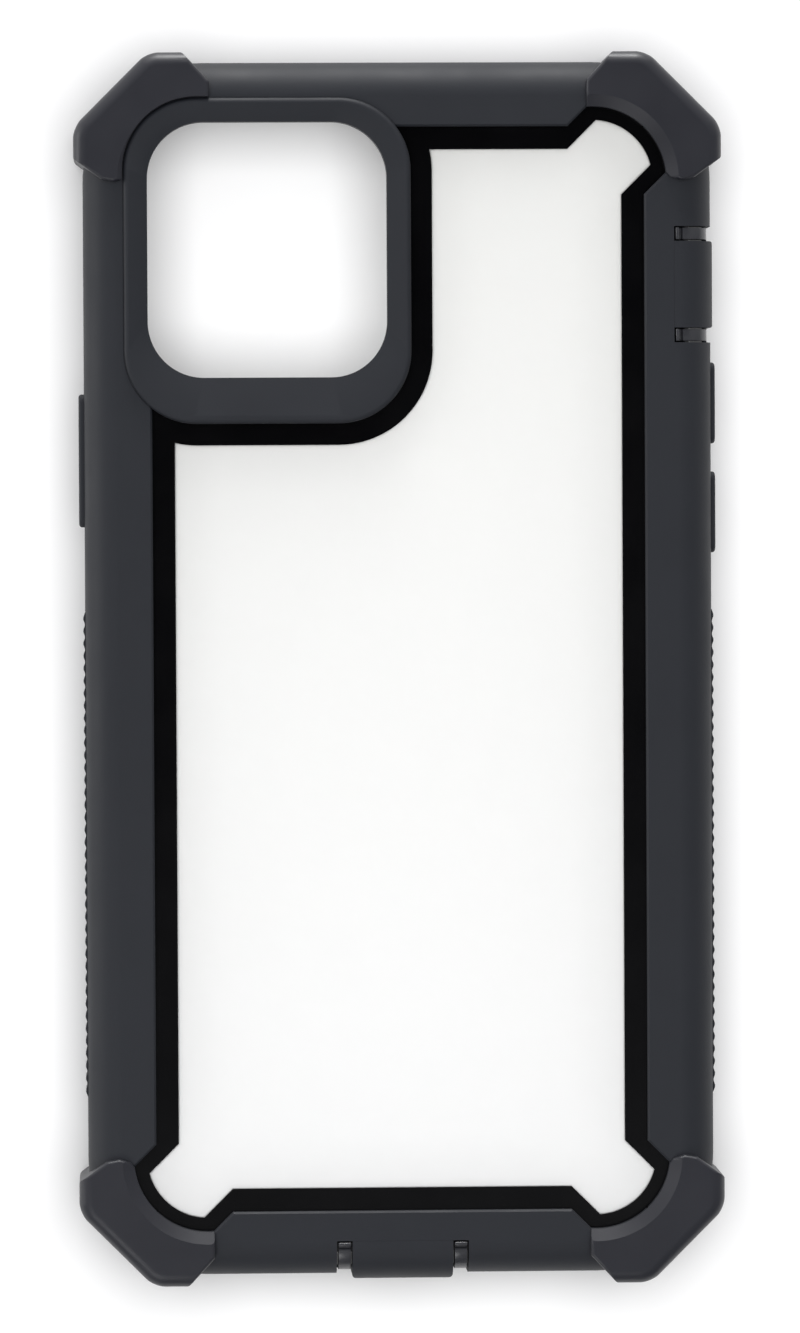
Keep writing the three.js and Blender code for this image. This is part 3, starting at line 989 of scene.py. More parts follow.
@dataclass(frozen=True)
class Dress:
    """What ties a piece to the frame: its body, the node it stands for and its finish."""

    body: str
    node: str | None
    slot: str
    material: bpy.types.Material

    def put_on(self, piece: bpy.types.Object) -> bpy.types.Object:
        """Dresses a piece and reports it.

        Args:
            piece: The finished piece.

        Returns:
            The piece.
        """
        piece.data.materials.clear()
        piece.data.materials.append(self.material)
        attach(piece, self.body)
        if self.node is None:
            LOG.info("%s: %d faces, a detail", piece.name, len(piece.data.polygons))
        else:
            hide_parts(self.node)
            report(piece, self.node)
        return piece


def report(piece: bpy.types.Object, node: str) -> None:
    """Logs a piece, its faces, and how far it stands outside the node that it stands for.

    Args:
        piece: The piece.
        node: The CAD node.
    """
    corners = [Vector(corner) / MM for corner in piece.bound_box]
    low = Vector(map(min, zip(*corners)))
    high = Vector(map(max, zip(*corners)))
    box = Span.of(node)
    outside = [*(box.low - low), *(high - box.high)]
    LOG.info(
        "%s: %d faces, %.3f mm outside and %.3f mm inside its CAD box",
        piece.name,
        len(piece.data.polygons),
        max(outside),
        -min(outside),
    )


@dataclass(frozen=True)
class Flap:
    """A cover on a living hinge: its place, its width and the slots that free it."""

    name: str
    node: str
    edge: Edge
    along: float
    width: float
    slot: float
    proud: float
    hinge: float
    hole: tuple[float, float]
    plug: tuple[float, float]
    corner_radius: float

    front: float = 3.2
    front_round: float = 0.4
    edge_round: float = 0.18
    boss_out: float = 3.45
    boss_sunk: float = 0.8
    boss_spare: float = 0.8
    boss_chamfer: float = 1.7
    boss_back: float = 11.0
    plug_depth: float = 0.6
    post_from_hinge: float = 0.2
    post_out: float = 4.0
    post_back: float = 12.4
    post_round: float = 2.6
    post_edge: float = 0.2
    post_gap: float = 0.2
    bar_width: float = 0.45
    bar_back: float = 13.15
    bar_round: float = 0.18
    groove: float = 0.35
    groove_round: float = 0.3

    @property
    def place(self) -> Matrix:
        """Where the flap stands."""
        return self.edge.place(self.along)

    def boss(self, grown: float) -> Form:
        """The pad that the shell holds behind the flap and its slots.

        Args:
            grown: How far it is grown on every side.

        Returns:
            The pad.
        """
        out, front = self.boss_out + grown, self.front + PHONE.gap - grown
        back, inner = self.boss_back + grown / 2, PHONE.shell_out - self.boss_sunk
        section = [
            Corner(inner, front),
            Corner(out, front),
            Corner(out, back - self.boss_chamfer),
            Corner(out - self.boss_chamfer, back),
            Corner(inner, back),
        ]
        length = self.width + 2 * (self.slot + self.boss_spare) + 2 * grown
        return swept(section, length).move(self.place)

    def post(self, side: int) -> Form:
        """The rounded stop that fills the slot beside the flap, with a thin bar at the hinge.

        Args:
            side: Which slot, as a sign along the edge.

        Returns:
            The post.
        """
        inner, front = self.hinge + self.post_from_hinge, PHONE.back + self.plug_depth
        bar = inner + self.bar_width
        foot = self.post_back - self.groove
        shoulder = self.boss_out + PHONE.gap / 2
        section = [
            Corner(inner, front),
            Corner(shoulder, front),
            Corner(shoulder, self.front + PHONE.gap),
            Corner(self.post_out, self.front + PHONE.gap),
            Corner(self.post_out, self.post_back, self.post_round),
            Corner(bar + self.groove, self.post_back, self.groove_round),
            Corner(bar + self.groove, foot),
            Corner(bar, foot),
            Corner(bar, self.bar_back, self.bar_round),
            Corner(inner, self.bar_back, self.bar_round),
        ]
        post = swept(section, self.slot - 2 * self.post_gap)
        post.soften(self.post_edge, steps=3, sharper=60)
        middle = side * (self.width + self.slot) / 2
        return post.move(Matrix.Translation((middle, 0, 0))).move(self.place)

    def slots(self, skin_out: float, back: float) -> list[Form]:
        """The slots that free the flap's two sides.

        Args:
            skin_out: How far the skin reaches from the phone's side.
            back: The height of the skin's back.

        Returns:
            The two cutters.
        """
        near, far = self.width / 2 - PHONE.gap, self.width / 2 + self.slot
        front = self.front - PHONE.moving_gap
        return [
            Form.box(
                (min(side * near, side * far), -skin_out - PAST, front),
                (max(side * near, side * far), -self.hinge, back + PAST),
            ).move(self.place)
            for side in (-1, 1)
        ]

    def room(self, skin_out: float, back: float) -> Form:
        """The room between the slots that the flap itself takes in the skin.

        Args:
            skin_out: How far the skin reaches from the phone's side.
            back: The height of the skin's back.

        Returns:
            The room.
        """
        half = (self.width + self.slot) / 2
        low = (-half, -skin_out - PAST, self.front - PHONE.moving_gap)
        return Form.box(low, (half, -self.hinge, back + PAST)).move(self.place)

    def window(self, size: tuple[float, float], inner: float, outer: float) -> Form:
        """A rounded opening's shape, pushed outwards at the flap's own origin.

        Args:
            size: Its width and height.
            inner: Where it starts, from the phone's side.
            outer: Where it ends.

        Returns:
            The solid.
        """
        width, height = size
        return through(on_side(width, height, height / 3), inner, outer)

    def access(self) -> Form:
        """The hole through the shell that the flap covers."""
        return self.window(self.hole, -PAST, self.boss_out + PAST).move(self.place)

    def form(self, skin_out: float, back: float, leaf_front: float, back_round: float) -> Form:
        """The flap: a leaf over the rail, a wall over the side and a plug behind it.

        Args:
            skin_out: How far the skin reaches from the phone's side.
            back: The height of the skin's back.
            leaf_front: The height of the leaf's underside.
            back_round: The radius of the skin's back edge.

        Returns:
            The flap.
        """
        outer, inner = skin_out + self.proud, self.boss_out + PHONE.moving_gap
        start = self.hinge + PHONE.seam / 2
        section = [
            Corner(start, leaf_front),
            Corner(start, back),
            Corner(outer, back, back_round),
            Corner(outer, self.front, self.front_round),
            Corner(inner, self.front),
            Corner(inner, self.boss_back - self.boss_chamfer + PHONE.moving_gap),
            Corner(inner - self.boss_chamfer, leaf_front),
        ]
        half = self.width / 2
        plan = [
            Corner(-half, PAST),
            Corner(-half, -outer, self.corner_radius),
            Corner(half, -outer, self.corner_radius),
            Corner(half, PAST),
        ]
        wall = swept(section, self.width).keep(Form.prism(plan, 0, back + PAST))
        wall.soften(self.edge_round, 2, 40, lambda point: point.y > -start - NEAR)
        wall.add(
            self.window(self.plug, self.boss_out - self.plug_depth, inner + PHONE.moving_gap)
        )
        return wall.move(self.place)


@dataclass(frozen=True)
class Button:
    """A side button: a cap through the skin, a flange behind it and a nub to the phone."""

    name: str
    node: str
    edge: Edge
    length: float
    height: float = 4.2
    corner_radius: float = 1.05
    edge_round: float = 0.4
    flange: float = 0.8
    flange_thickness: float = 0.75
    flange_round: float = 0.1
    travel: float = 0.5
    nub_shorter: float = 4.0
    nub_height: float = 2.2
    nub_round: float = 0.15

    @property
    def place(self) -> Matrix:
        """Where the button stands, from its node's box."""
        return self.edge.place(Span.of(self.node).middle.y)

    @property
    def flange_in(self) -> float:
        """How far the flange's inner face is from the phone's side."""
        return PHONE.skin_in + self.travel + PHONE.gap / 2

    @property
    def flange_out(self) -> float:
        """How far the flange's outer face is from the phone's side."""
        return self.flange_in + self.flange_thickness

    def block(self, length: float, height: float, inner: float, outer: float) -> Form:
        """A plain block at the button's own origin.

        Args:
            length: Its length along the side.
            height: Its height.
            inner: Where it starts, from the phone's side.
            outer: Where it ends.

        Returns:
            The block.
        """
        low = (-length / 2, -outer, PHONE.middle - height / 2)
        return Form.box(low, (length / 2, -inner, PHONE.middle + height / 2))

    def form(self) -> Form:
        """The button, out to the face of its node.

        Returns:
            The button.
        """
        box = Span.of(self.node)
        outer = max(abs(box.low.x), abs(box.high.x)) - PHONE.half_width
        outline = on_side(self.length, self.height, self.corner_radius)
        cap = Form.prism(outline, self.flange_out - PHONE.gap, outer)
        cap.round_rim(outer, self.edge_round, steps=5).move(PIERCE)
        grown = 2 * self.flange
        flange = self.block(
            self.length + grown, self.height + grown, self.flange_in, self.flange_out
        )
        nub = self.block(
            self.length - self.nub_shorter,
            self.nub_height,
            PHONE.clearance + self.travel,
            self.flange_in + PHONE.gap,
        )
        hidden = (flange.soften(self.flange_round), nub.soften(self.nub_round))
        return cap.add(*hidden).move(self.place)

    def rooms(self, skin_out: float) -> tuple[list[Form], Form]:
        """The room that the button needs.

        Args:
            skin_out: How far the skin reaches from the phone's side.

        Returns:
            The cuts in the skin, and the cut in the shell.
        """
        wide = 2 * PHONE.moving_gap
        radius = self.corner_radius + PHONE.moving_gap
        cap = on_side(self.length + wide, self.height + wide, radius)
        flange = 2 * self.flange + wide
        skin = [
            through(cap, 0, skin_out + PAST),
            self.block(
                self.length + flange, self.height + flange, 0, self.flange_out + PHONE.gap
            ),
        ]
        shell = self.block(
            self.length - self.nub_shorter + wide, self.nub_height + wide, 0, PHONE.skin_in
        )
        return [cut.move(self.place) for cut in skin], shell.move(self.place)


@dataclass(frozen=True)
class GripStrip:
    """A strip of rounded ribs, set into the skin's side."""

    name: str
    node: str
    edge: Edge
    pitch: float = 1.6
    depth: float = 0.9
    proud: float = 0.3
    rib_round: float = 0.26

    @property
    def span(self) -> Span:
        """The strip's box."""
        return Span.of(self.node)

    @property
    def place(self) -> Matrix:
        """Where the middle of the strip stands."""
        return self.edge.place(self.span.middle.y)

    @property
    def length(self) -> float:
        """How long the strip is."""
        return self.span.high.y - self.span.low.y

    def form(self, skin_out: float) -> Form:
        """The strip: a flat bar whose outer edge is drawn out into ribs, then raised.

        Args:
            skin_out: How far the skin reaches from the phone's side.

        Returns:
            The strip.
        """
        ribs = round(self.length / self.pitch)
        inner = -skin_out + self.depth - PHONE.bond_gap
        bm = bmesh.new()
        stretch = Matrix.Diagonal((self.length, inner + skin_out, 1, 1))
        middle = Matrix.Translation((0, (inner - skin_out) / 2, self.span.low.z))
        bmesh.ops.create_grid(
            bm, x_segments=2 * ribs, y_segments=1, size=0.5, matrix=middle @ stretch
        )
        outer = sorted(
            (vert for vert in bm.verts if vert.co.y < inner - NEAR), key=lambda vert: vert.co.x
        )
        bmesh.ops.translate(bm, vec=(0, -self.proud, 0), verts=outer[1::2])
        raised = bmesh.ops.extrude_face_region(bm, geom=bm.faces[:])["geom"]
        top = [item for item in raised if isinstance(item, bmesh.types.BMVert)]
        height = self.span.high.z - self.span.low.z
        bmesh.ops.translate(bm, vec=(0, 0, height), verts=top)
        bmesh.ops.recalc_face_normals(bm, faces=bm.faces[:])
        upright = [
            edge
            for edge in bm.edges
            if abs(edge.verts[0].co.z - edge.verts[1].co.z) > NEAR
            and len(edge.link_faces) == 2
            and edge.calc_face_angle() > FLAT
            and edge.verts[0].co.y < inner - NEAR
            and abs(edge.verts[0].co.x) < self.length / 2 - NEAR
        ]
        bevel(bm, upright, self.rib_round, steps=4)
        return Form(bm).move(self.place)

    def room(self, skin_out: float) -> Form:
        """The recess for the strip in the skin's side.

        Args:
            skin_out: How far the skin reaches from the phone's side.

        Returns:
            The recess.
        """
        half = self.length / 2 + PHONE.bond_gap
        low = (-half, -skin_out - PAST, self.span.low.z - PHONE.bond_gap)
        high = (half, -skin_out + self.depth, self.span.high.z + PHONE.bond_gap)
        return Form.box(low, high).move(self.place)


@dataclass(frozen=True)
class CameraRing:
    """The ring round the camera opening: rounded outside, dished towards the opening."""

    node: str = "camera_ring"
    margin: float = 3.05
    lower_margin: float = 5.9
    radius: float = 9.3
    hole_radius: float = 7.2
    edge_round: float = 0.6
    crease_round: float = 0.12
    crest: float = 0.65
    lower_crest: float = 1.15
    dish: float = 1.1
    sleeve: float = 1.2

    def outline(self, grown: float) -> list[Corner]:
        """The ring's outer outline.

        Args:
            grown: How far it is grown outwards.

        Returns:
            The outline's corners.
        """
        box = Span.of(self.node)
        return rectangle(
            box.low.x - grown,
            box.high.x + grown,
            box.low.y - grown,
            box.high.y + grown,
            self.radius + grown,
        )

    def opening(self, grown: float) -> list[Corner]:
        """The camera opening's outline.

        Args:
            grown: How far it is grown outwards.

        Returns:
            The outline's corners.
        """
        box = Span.of(self.node)
        return rectangle(
            box.low.x + self.margin - grown,
            box.high.x - self.margin + grown,
            box.low.y + self.lower_margin - grown,
            box.high.y - self.margin + grown,
            self.hole_radius + grown,
        )

    def form(self, front: float) -> Form:
        """The ring: a rounded plate and a sleeve, dished and pierced.

        Args:
            front: The height of the plate's underside.

        Returns:
            The ring.
        """
        box = Span.of(self.node)
        back = box.high.z
        plate = Form.prism(self.outline(0), front, back)
        plate.round_rim(back, self.edge_round, steps=6)
        plate.add(Form.prism(self.opening(self.sleeve), PHONE.back, front + self.sleeve / 2))
        hole = self.opening(0)
        crest = rectangle(
            box.low.x + self.crest,
            box.high.x - self.crest,
            box.low.y + self.lower_crest,
            box.high.y - self.crest,
            self.radius - self.crest,
        )
        past = 1 + PHONE.gap / self.dish
        mouth = [
            Corner(
                inner.x + (outer.x - inner.x) * past,
                inner.y + (outer.y - inner.y) * past,
                inner.radius + (outer.radius - inner.radius) * past,
            )
            for inner, outer in zip(hole, crest)
        ]
        dish = Form.prism(mouth, back - self.dish, back + PHONE.gap)
        foot = [vert for vert in dish.bm.verts if vert.co.z < back - NEAR]
        scale = Vector((hole[1].x - hole[0].x, hole[2].y - hole[1].y, 1))
        scale.x /= mouth[1].x - mouth[0].x
        scale.y /= mouth[2].y - mouth[1].y
        to_middle = (hole[0].point + hole[2].point).to_3d() / 2
        middle = (mouth[0].point + mouth[2].point).to_3d() / 2
        carry = (
            Matrix.Translation(to_middle)
            @ Matrix.Diagonal(scale).to_4x4()
            @ Matrix.Translation(-middle)
        )
        bmesh.ops.transform(dish.bm, matrix=carry, verts=foot)
        plate.cut(dish, Form.prism(hole, PHONE.back - PAST, back + PAST))
        return plate.soften(self.crease_round, sharper=25)


@dataclass(frozen=True)
class CornerGuard:
    """A raised crescent round one corner of the case, wrapped from its back to its front."""

    name: str
    node: str
    side: int
    end: int

    proud: float = 1.15
    slant_proud: float = 1.25
    corner_round: float = 3.5
    side_end: float = 2.9
    end_end: float = 2.6
    end_round: float = 0.6
    tip_round: float = 0.5
    side_tip: tuple[tuple[float, float], ...] = ((2.45, 0.25), (4.05, -0.05), (5.45, 0.4))
    end_tip: tuple[tuple[float, float], ...] = ((3.95, -0.9), (2.55, -0.85))
    inner_radius: float = 9.45
    inner_side_angle: float = 0.12
    inner_end_angle: float = 0.08
    front_outside: float = 0.45
    back_round: float = 1.7
    front_round: float = 1.3
    dish_depth: float = 0.9
    dish_width: float = 1.5
    step_round: float = 0.45
    crease_round: float = 0.3

    def flipped(self, x: float, y: float, radius: float = 0.0) -> Corner:
        """A point of the top right corner, brought to this one.

        Args:
            x: Its distance from the middle of the corner's arc, across.
            y: Its distance along.
            radius: The radius that rounds it.

        Returns:
            The corner in the frame of the case.
        """
        return Corner(
            self.side * (PHONE.corner_x + x), self.end * (PHONE.corner_y + y), radius
        )

    def inner_point(self, angle: float, tip: tuple[float, float, float]) -> tuple[float, float]:
        """A point inside the round cut, on the line of the guard's end.

        Args:
            angle: Where that line meets the round cut.
            tip: The tip that it comes from.

        Returns:
            The point, from the middle of the corner's arc.
        """
        meeting = Vector((math.cos(angle), math.sin(angle))) * self.inner_radius
        point = meeting + (meeting - Vector(tip[:2])).normalized() * self.step_round
        return point.x, point.y

    def outline(self, skin_radius: float) -> list[Corner]:
        """The guard's outline, with its inner side left for the round cut.

        Args:
            skin_radius: The radius of the skin's own corner.

        Returns:
            The outline's corners.
        """
        edge = skin_radius + self.proud
        slanted = (skin_radius + self.slant_proud) * math.sqrt(2) - edge
        tip = self.tip_round
        side_tip = [(skin_radius - inside, y, tip) for inside, y in reversed(self.side_tip)]
        end_tip = [(x, skin_radius - inside, tip) for inside, x in reversed(self.end_tip)]
        points = [
            (0, 0, 0),
            self.inner_point(self.inner_side_angle, side_tip[0]),
            *side_tip,
            (edge, self.side_end, self.end_round),
            (edge, slanted, self.corner_round),
            (slanted, edge, self.corner_round),
            (self.end_end, edge, self.end_round),
            *end_tip,
            self.inner_point(math.pi / 2 + self.inner_end_angle, end_tip[-1]),
        ]
        return [self.flipped(*point) for point in points]

    def envelope(self, skin_radius: float, back: float) -> Form:
        """The block of all four guards, with its rounded rims.

        Args:
            skin_radius: The radius of the skin's own corner.
            back: The height of the guards' back.

        Returns:
            The block.
        """
        edge = skin_radius + self.proud
        slanted = (skin_radius + self.slant_proud) * math.sqrt(2) - edge
        x, y = PHONE.corner_x + edge, PHONE.corner_y + edge
        slant_x, slant_y = PHONE.corner_x + slanted, PHONE.corner_y + slanted
        places = [
            (x, slant_y),
            (slant_x, y),
            (-slant_x, y),
            (-x, slant_y),
            (-x, -slant_y),
            (-slant_x, -y),
            (slant_x, -y),
            (x, -slant_y),
        ]
        block = Form.prism([Corner(*at, self.corner_round) for at in places], 0, back)
        block.round_rim(back, self.back_round, steps=8)
        return block.round_rim(0, self.front_round, steps=6)

    def form(self, skin: OuterSkin, ring: CameraRing) -> Form:
        """The guard, cut to sit on the skin and clear of the ring.

        Args:
            skin: The skin that it sits on.
            ring: The camera ring.

        Returns:
            The guard.
        """
        back = Span.of(self.node).high.z
        crescent = Form.prism(self.outline(skin.radius), 0, back)
        crescent.round_rim(back, self.step_round, steps=4)
        crescent.round_rim(0, self.step_round, steps=3)
        crescent.keep(self.envelope(skin.radius, back))
        middle = self.flipped(0, 0)
        mouth = self.inner_radius + self.dish_width * (1 + PHONE.gap / self.dish_depth)
        dish = Form.disc(middle.x, middle.y, mouth, back - self.dish_depth, back + PHONE.gap)
        foot = [vert for vert in dish.bm.verts if vert.co.z < back - NEAR]
        about = Matrix.Translation((-middle.x, -middle.y, 0))
        shrink = self.inner_radius / mouth
        bmesh.ops.scale(dish.bm, vec=(shrink, shrink, 1), space=about, verts=foot)
        inside = PHONE.corner_radius + self.front_outside
        crescent.cut(
            skin.block(PHONE.seam),
            dish,
            Form.disc(middle.x, middle.y, self.inner_radius, PHONE.middle, back + PAST),
            Form.disc(middle.x, middle.y, inside, -PAST, PHONE.middle + PHONE.gap),
        )
        if self.side < 0 < self.end:
            crescent.cut(
                Form.prism(ring.outline(PHONE.bond_gap), PHONE.middle, back + PAST)
            )
        inner_wall = self.inner_radius + PHONE.moving_gap
        return crescent.soften(
            self.crease_round,
            steps=3,
            sharper=24,
            spared=lambda point: (point.xy - middle.point).length < inner_wall
            or self.front_round < point.z < back - self.dish_depth - NEAR,
        )


@dataclass(frozen=True)
class OuterSkin:
    """The soft outer skin: rounded rails with a notched opening at the back."""

    node: str = "outer_skin"
    back_round: float = 4.5
    front_round: float = 2.5
    lip_cover: float = 0.75
    opening: Notched = Notched(31.6, 69.55, 9.45)
    opening_edge: float = 0.25

    @property
    def out(self) -> float:
        """How far the skin reaches from the phone's side."""
        return Span.of(self.node).high.x - PHONE.half_width

    @property
    def radius(self) -> float:
        """The radius of the skin's corners."""
        return PHONE.corner_radius + self.out

    @property
    def back(self) -> float:
        """The height of the rails' back."""
        return Span.of(self.node).high.z

    def block(self, grown: float) -> Form:
        """The skin's outer form, solid.

        Args:
            grown: How far it is grown on every side.

        Returns:
            The block.
        """
        front, back = Span.of(self.node).low.z - grown, self.back + grown
        block = PHONE.around(self.out + grown, front, back)
        block.round_rim(back, self.back_round, steps=16)
        return block.round_rim(front, self.front_round, steps=9)

    def form(self, parts: CaseParts) -> Form:
        """The skin with all its openings.

        Args:
            parts: The parts that sit in it.

        Returns:
            The skin.
        """
        skin = self.block(0)
        shell_back = parts.shell.back
        mouth = self.back - self.opening_edge
        skin.cut(
            PHONE.around(PHONE.skin_in, PHONE.lip_back, shell_back + PHONE.gap),
            PHONE.around(-self.lip_cover, -PAST, PHONE.lip_back + PAST),
            *self.opening.forms(PHONE.back, self.back + PAST),
            *self.opening.forms(mouth, self.back + PAST, 0, self.opening_edge),
            Form.prism(parts.ring.outline(PHONE.seam), PHONE.back, self.back + PAST),
        )
        for flap in parts.flaps:
            skin.cut(*flap.slots(self.out, self.back), flap.boss(PHONE.gap))
        for button in parts.buttons:
            skin.cut(*button.rooms(self.out)[0])
        for strip in parts.grips:
            skin.cut(strip.room(self.out))
        skin.cut(*parts.speakers.forms(self.out + PAST))
        return skin.cut(*(flap.room(self.out, self.back) for flap in parts.flaps))


@dataclass(frozen=True)
class SpeakerSlots:
    """The two sound slots in the bottom end."""

    place: float = 16.5
    width: float = 9.0
    height: float = 2.8
    corner_radius: float = 1.12

    def forms(self, outer: float) -> list[Form]:
        """The slots as cutters.

        Args:
            outer: How far out they reach.

        Returns:
            The two cutters.
        """
        outline = on_side(self.width, self.height, self.corner_radius)
        return [
            through(outline, -PAST, outer).move(Edge.BOTTOM.place(along))
            for along in (-self.place, self.place)
        ]


@dataclass(frozen=True)
class ClearBack:
    """The clear window of the back: a sheet in a flange that is taped behind a border."""

    node: str = "clear_back_panel"
    window: Notched = Notched(28.7, 66.65, 7.75)
    ring_border: float = 2.75
    flange: float = 1.8
    flange_back: float = 11.05

    def slab(self, ring: CameraRing, offset: float, low: float, high: float) -> Form:
        """The window's outline as a solid, kept off the camera ring.

        Args:
            ring: The camera ring.
            offset: How far the window is grown.
            low: The height of its foot.
            high: The height of its top.

        Returns:
            The solid.
        """
        window = whole(self.window.forms(low, high, offset))
        border = ring.outline(self.ring_border - offset)
        return window.cut(Form.prism(border, low - PAST, high + PAST))

    def form(self, ring: CameraRing) -> Form:
        """The sheet with its flange.

        Args:
            ring: The camera ring.

        Returns:
            The panel.
        """
        back = Span.of(self.node).high.z
        sheet = self.slab(ring, -PHONE.bond_gap, PHONE.back, back)
        sheet.soften(EASED, sharper=50)
        return sheet.add(self.slab(ring, self.flange, PHONE.back, self.flange_back))


@dataclass(frozen=True)
class InnerShell:
    """The hard inner shell: a tray round the phone, with a glossy border at the back."""

    node: str = "inner_shell"
    back_round: float = 0.8
    edge_round: float = 0.08
    rim_out: float = 0.9
    rim_height: float = 1.6
    snap_gap: float = 0.3
    ledge_width: float = 2.0
    ledge_thickness: float = 0.5

    @property
    def back(self) -> float:
        """The height of the shell's back."""
        return Span.of(self.node).high.z

    def form(self, parts: CaseParts) -> Form:
        """The shell with all its openings.

        Args:
            parts: The parts that sit in it or round it.

        Returns:
            The shell.
        """
        front = PHONE.frame_back + PHONE.gap
        shell = PHONE.around(PHONE.shell_out, front, self.back)
        shell.round_rim(self.back, self.back_round, steps=6)
        shell.add(*(flap.boss(0) for flap in parts.flaps))
        ring, window = parts.ring, parts.window
        shell.cut(
            PHONE.around(PHONE.clearance, -PAST, PHONE.back),
            PHONE.around(
                self.rim_out + self.snap_gap,
                -PAST,
                PHONE.frame_back + self.rim_height + self.snap_gap,
            ),
            window.slab(ring, 0, PHONE.back - PAST, self.back + PAST),
            window.slab(
                ring, self.ledge_width, PHONE.back - PAST, self.back - self.ledge_thickness
            ),
            Form.prism(
                ring.opening(ring.sleeve + PHONE.bond_gap), PHONE.back - PAST, self.back + PAST
            ),
            *(flap.access() for flap in parts.flaps),
            *(button.rooms(0)[1] for button in parts.buttons),
            *parts.speakers.forms(PHONE.shell_out + PAST),
            *parts.frame.catches(self.snap_gap, PHONE.skin_in),
        )
        return shell.soften(self.edge_round, sharper=50)


@dataclass(frozen=True)
class FrontFrame:
    """The front frame: a thin border round the screen with a rim that snaps into the shell."""

    node: str = "front_frame"
    cover: float = 2.15
    rim_in: float = 0.3
    rim_out: float = 0.9
    rim_height: float = 1.6
    catch_length: float = 6.0
    catch_height: float = 0.8
    catch_proud: float = 0.55
    catches_per_side: int = 4
    end_catch_from_corner: float = 8.0

    def catches(self, grown: float, out: float) -> list[Form]:
        """The catches on the rim, as blocks.

        Args:
            grown: How far each is grown.
            out: How far out they reach.

        Returns:
            The blocks.
        """
        pitch = 2 * PHONE.corner_y / self.catches_per_side
        places = [
            (edge, (index + 0.5) * pitch - PHONE.corner_y)
            for edge in (Edge.LEFT, Edge.RIGHT)
            for index in range(self.catches_per_side)
        ]
        from_middle = PHONE.corner_x - self.end_catch_from_corner
        places += [
            (edge, along)
            for edge in (Edge.TOP, Edge.BOTTOM)
            for along in (-from_middle, from_middle)
        ]
        half = self.catch_length / 2 + grown
        middle = PHONE.frame_back + self.rim_height / 2
        deep = self.catch_height / 2 + grown
        inner = -(self.rim_out - PHONE.gap)
        return [
            Form.box((-half, -out, middle - deep), (half, inner, middle + deep)).move(
                edge.place(along)
            )
            for edge, along in places
        ]

    def form(self) -> Form:
        """The frame: a flat border, its rim and the catches on it.

        Returns:
            The frame.
        """
        front = PHONE.lip_back + PHONE.gap
        frame = PHONE.around(PHONE.shell_out, front, PHONE.frame_back)
        frame.add(
            PHONE.around(self.rim_out, front, PHONE.frame_back + self.rim_height),
            *self.catches(0, self.rim_out + self.catch_proud),
        )
        frame.cut(
            PHONE.around(self.rim_in, PHONE.frame_back, PHONE.frame_back + PAST),
            PHONE.around(-self.cover, -PAST, PHONE.frame_back + PAST),
        )
        return frame.soften(EASED, sharper=50)


@dataclass(frozen=True)
class CaseParts:
    """Every part of the case, so that each can make room for the others."""

    skin: OuterSkin
    shell: InnerShell
    frame: FrontFrame
    window: ClearBack
    ring: CameraRing
    speakers: SpeakerSlots
    guards: tuple[CornerGuard, ...]
    grips: tuple[GripStrip, ...]
    buttons: tuple[Button, ...]
    flaps: tuple[Flap, ...]

    def build(self) -> list[bpy.types.Object]:
        """Builds and dresses every piece.

        Returns:
            The pieces.
        """
        skin_rubber = SKIN_RUBBER.material()
        guard_rubber = GUARD_RUBBER.material()
        gloss = GLOSS_SHELL.material()
        satin = SATIN_FRAME.material()
        clear = CLEAR_PANEL.material()
        tape = FOAM_TAPE.material()
        stop_painted_highlight = STOP_PLASTIC_PAINTED_HIGHLIGHT.material()
        leaf_front = self.shell.back + PHONE.bond_gap
        made = [
            (self.skin.form(self), "skin", "case", "outer_skin", "skin_rubber", skin_rubber),
            (self.shell.form(self), "shell", "case", "inner_shell", "shell_gloss", gloss),
            (self.frame.form(), "screen_frame", "case", "front_frame", "frame_satin", satin),
            (
                self.window.form(self.ring),
                "clear_window",
                "case",
                "clear_back_panel",
                "clear_panel",
                clear,
            ),
            (
                self.ring.form(self.shell.back + PHONE.gap),
                "camera_surround",
                "case",
                "camera_ring",
                "skin_rubber",
                skin_rubber,
            ),
        ]
        for guard in self.guards:
            form = guard.form(self.skin, self.ring)
            made.append((form, guard.name, "case", guard.node, "guard_rubber", guard_rubber))
        for strip in self.grips:
            form = strip.form(self.skin.out)
            made.append((form, strip.name, "case", strip.node, "skin_rubber", skin_rubber))
        for button in self.buttons:
            form = button.form()
            made.append((form, button.name, button.node, button.node, "skin_rubber", skin_rubber))
        for flap in self.flaps:
            form = flap.form(self.skin.out, self.skin.back, leaf_front, self.skin.back_round)
            made.append((form, flap.name, flap.node, flap.node, "skin_rubber", skin_rubber))
        pieces = {
            name: Dress(body, node, slot, material).put_on(form.finished(name))
            for form, name, body, node, slot, material in made
        }
        for flap in self.flaps:
            for side, word in ((-1, "first"), (1, "second")):
                name = f"{flap.name}_{word}_stop"
                post = flap.post(side).finished(name)
                # The stops are dressed in a lighter plastic, as a painted highlight.
                pieces[name] = Dress("case", None, "shell_gloss", stop_painted_highlight).put_on(post)
        # A clear sheet throws no shadow to speak of on what lies under it.
        pieces["clear_window"].visible_shadow = False
        adhesive = frame["nodes"]["panel_adhesive"]
        adhesive.data.materials.clear()
        adhesive.data.materials.append(tape)
        LOG.info("panel_adhesive: kept as the CAD node, in foam tape")
        return [*pieces.values(), adhesive]


# ---------------------------------------------------------------------------------------------
# The studio.
# ---------------------------------------------------------------------------------------------


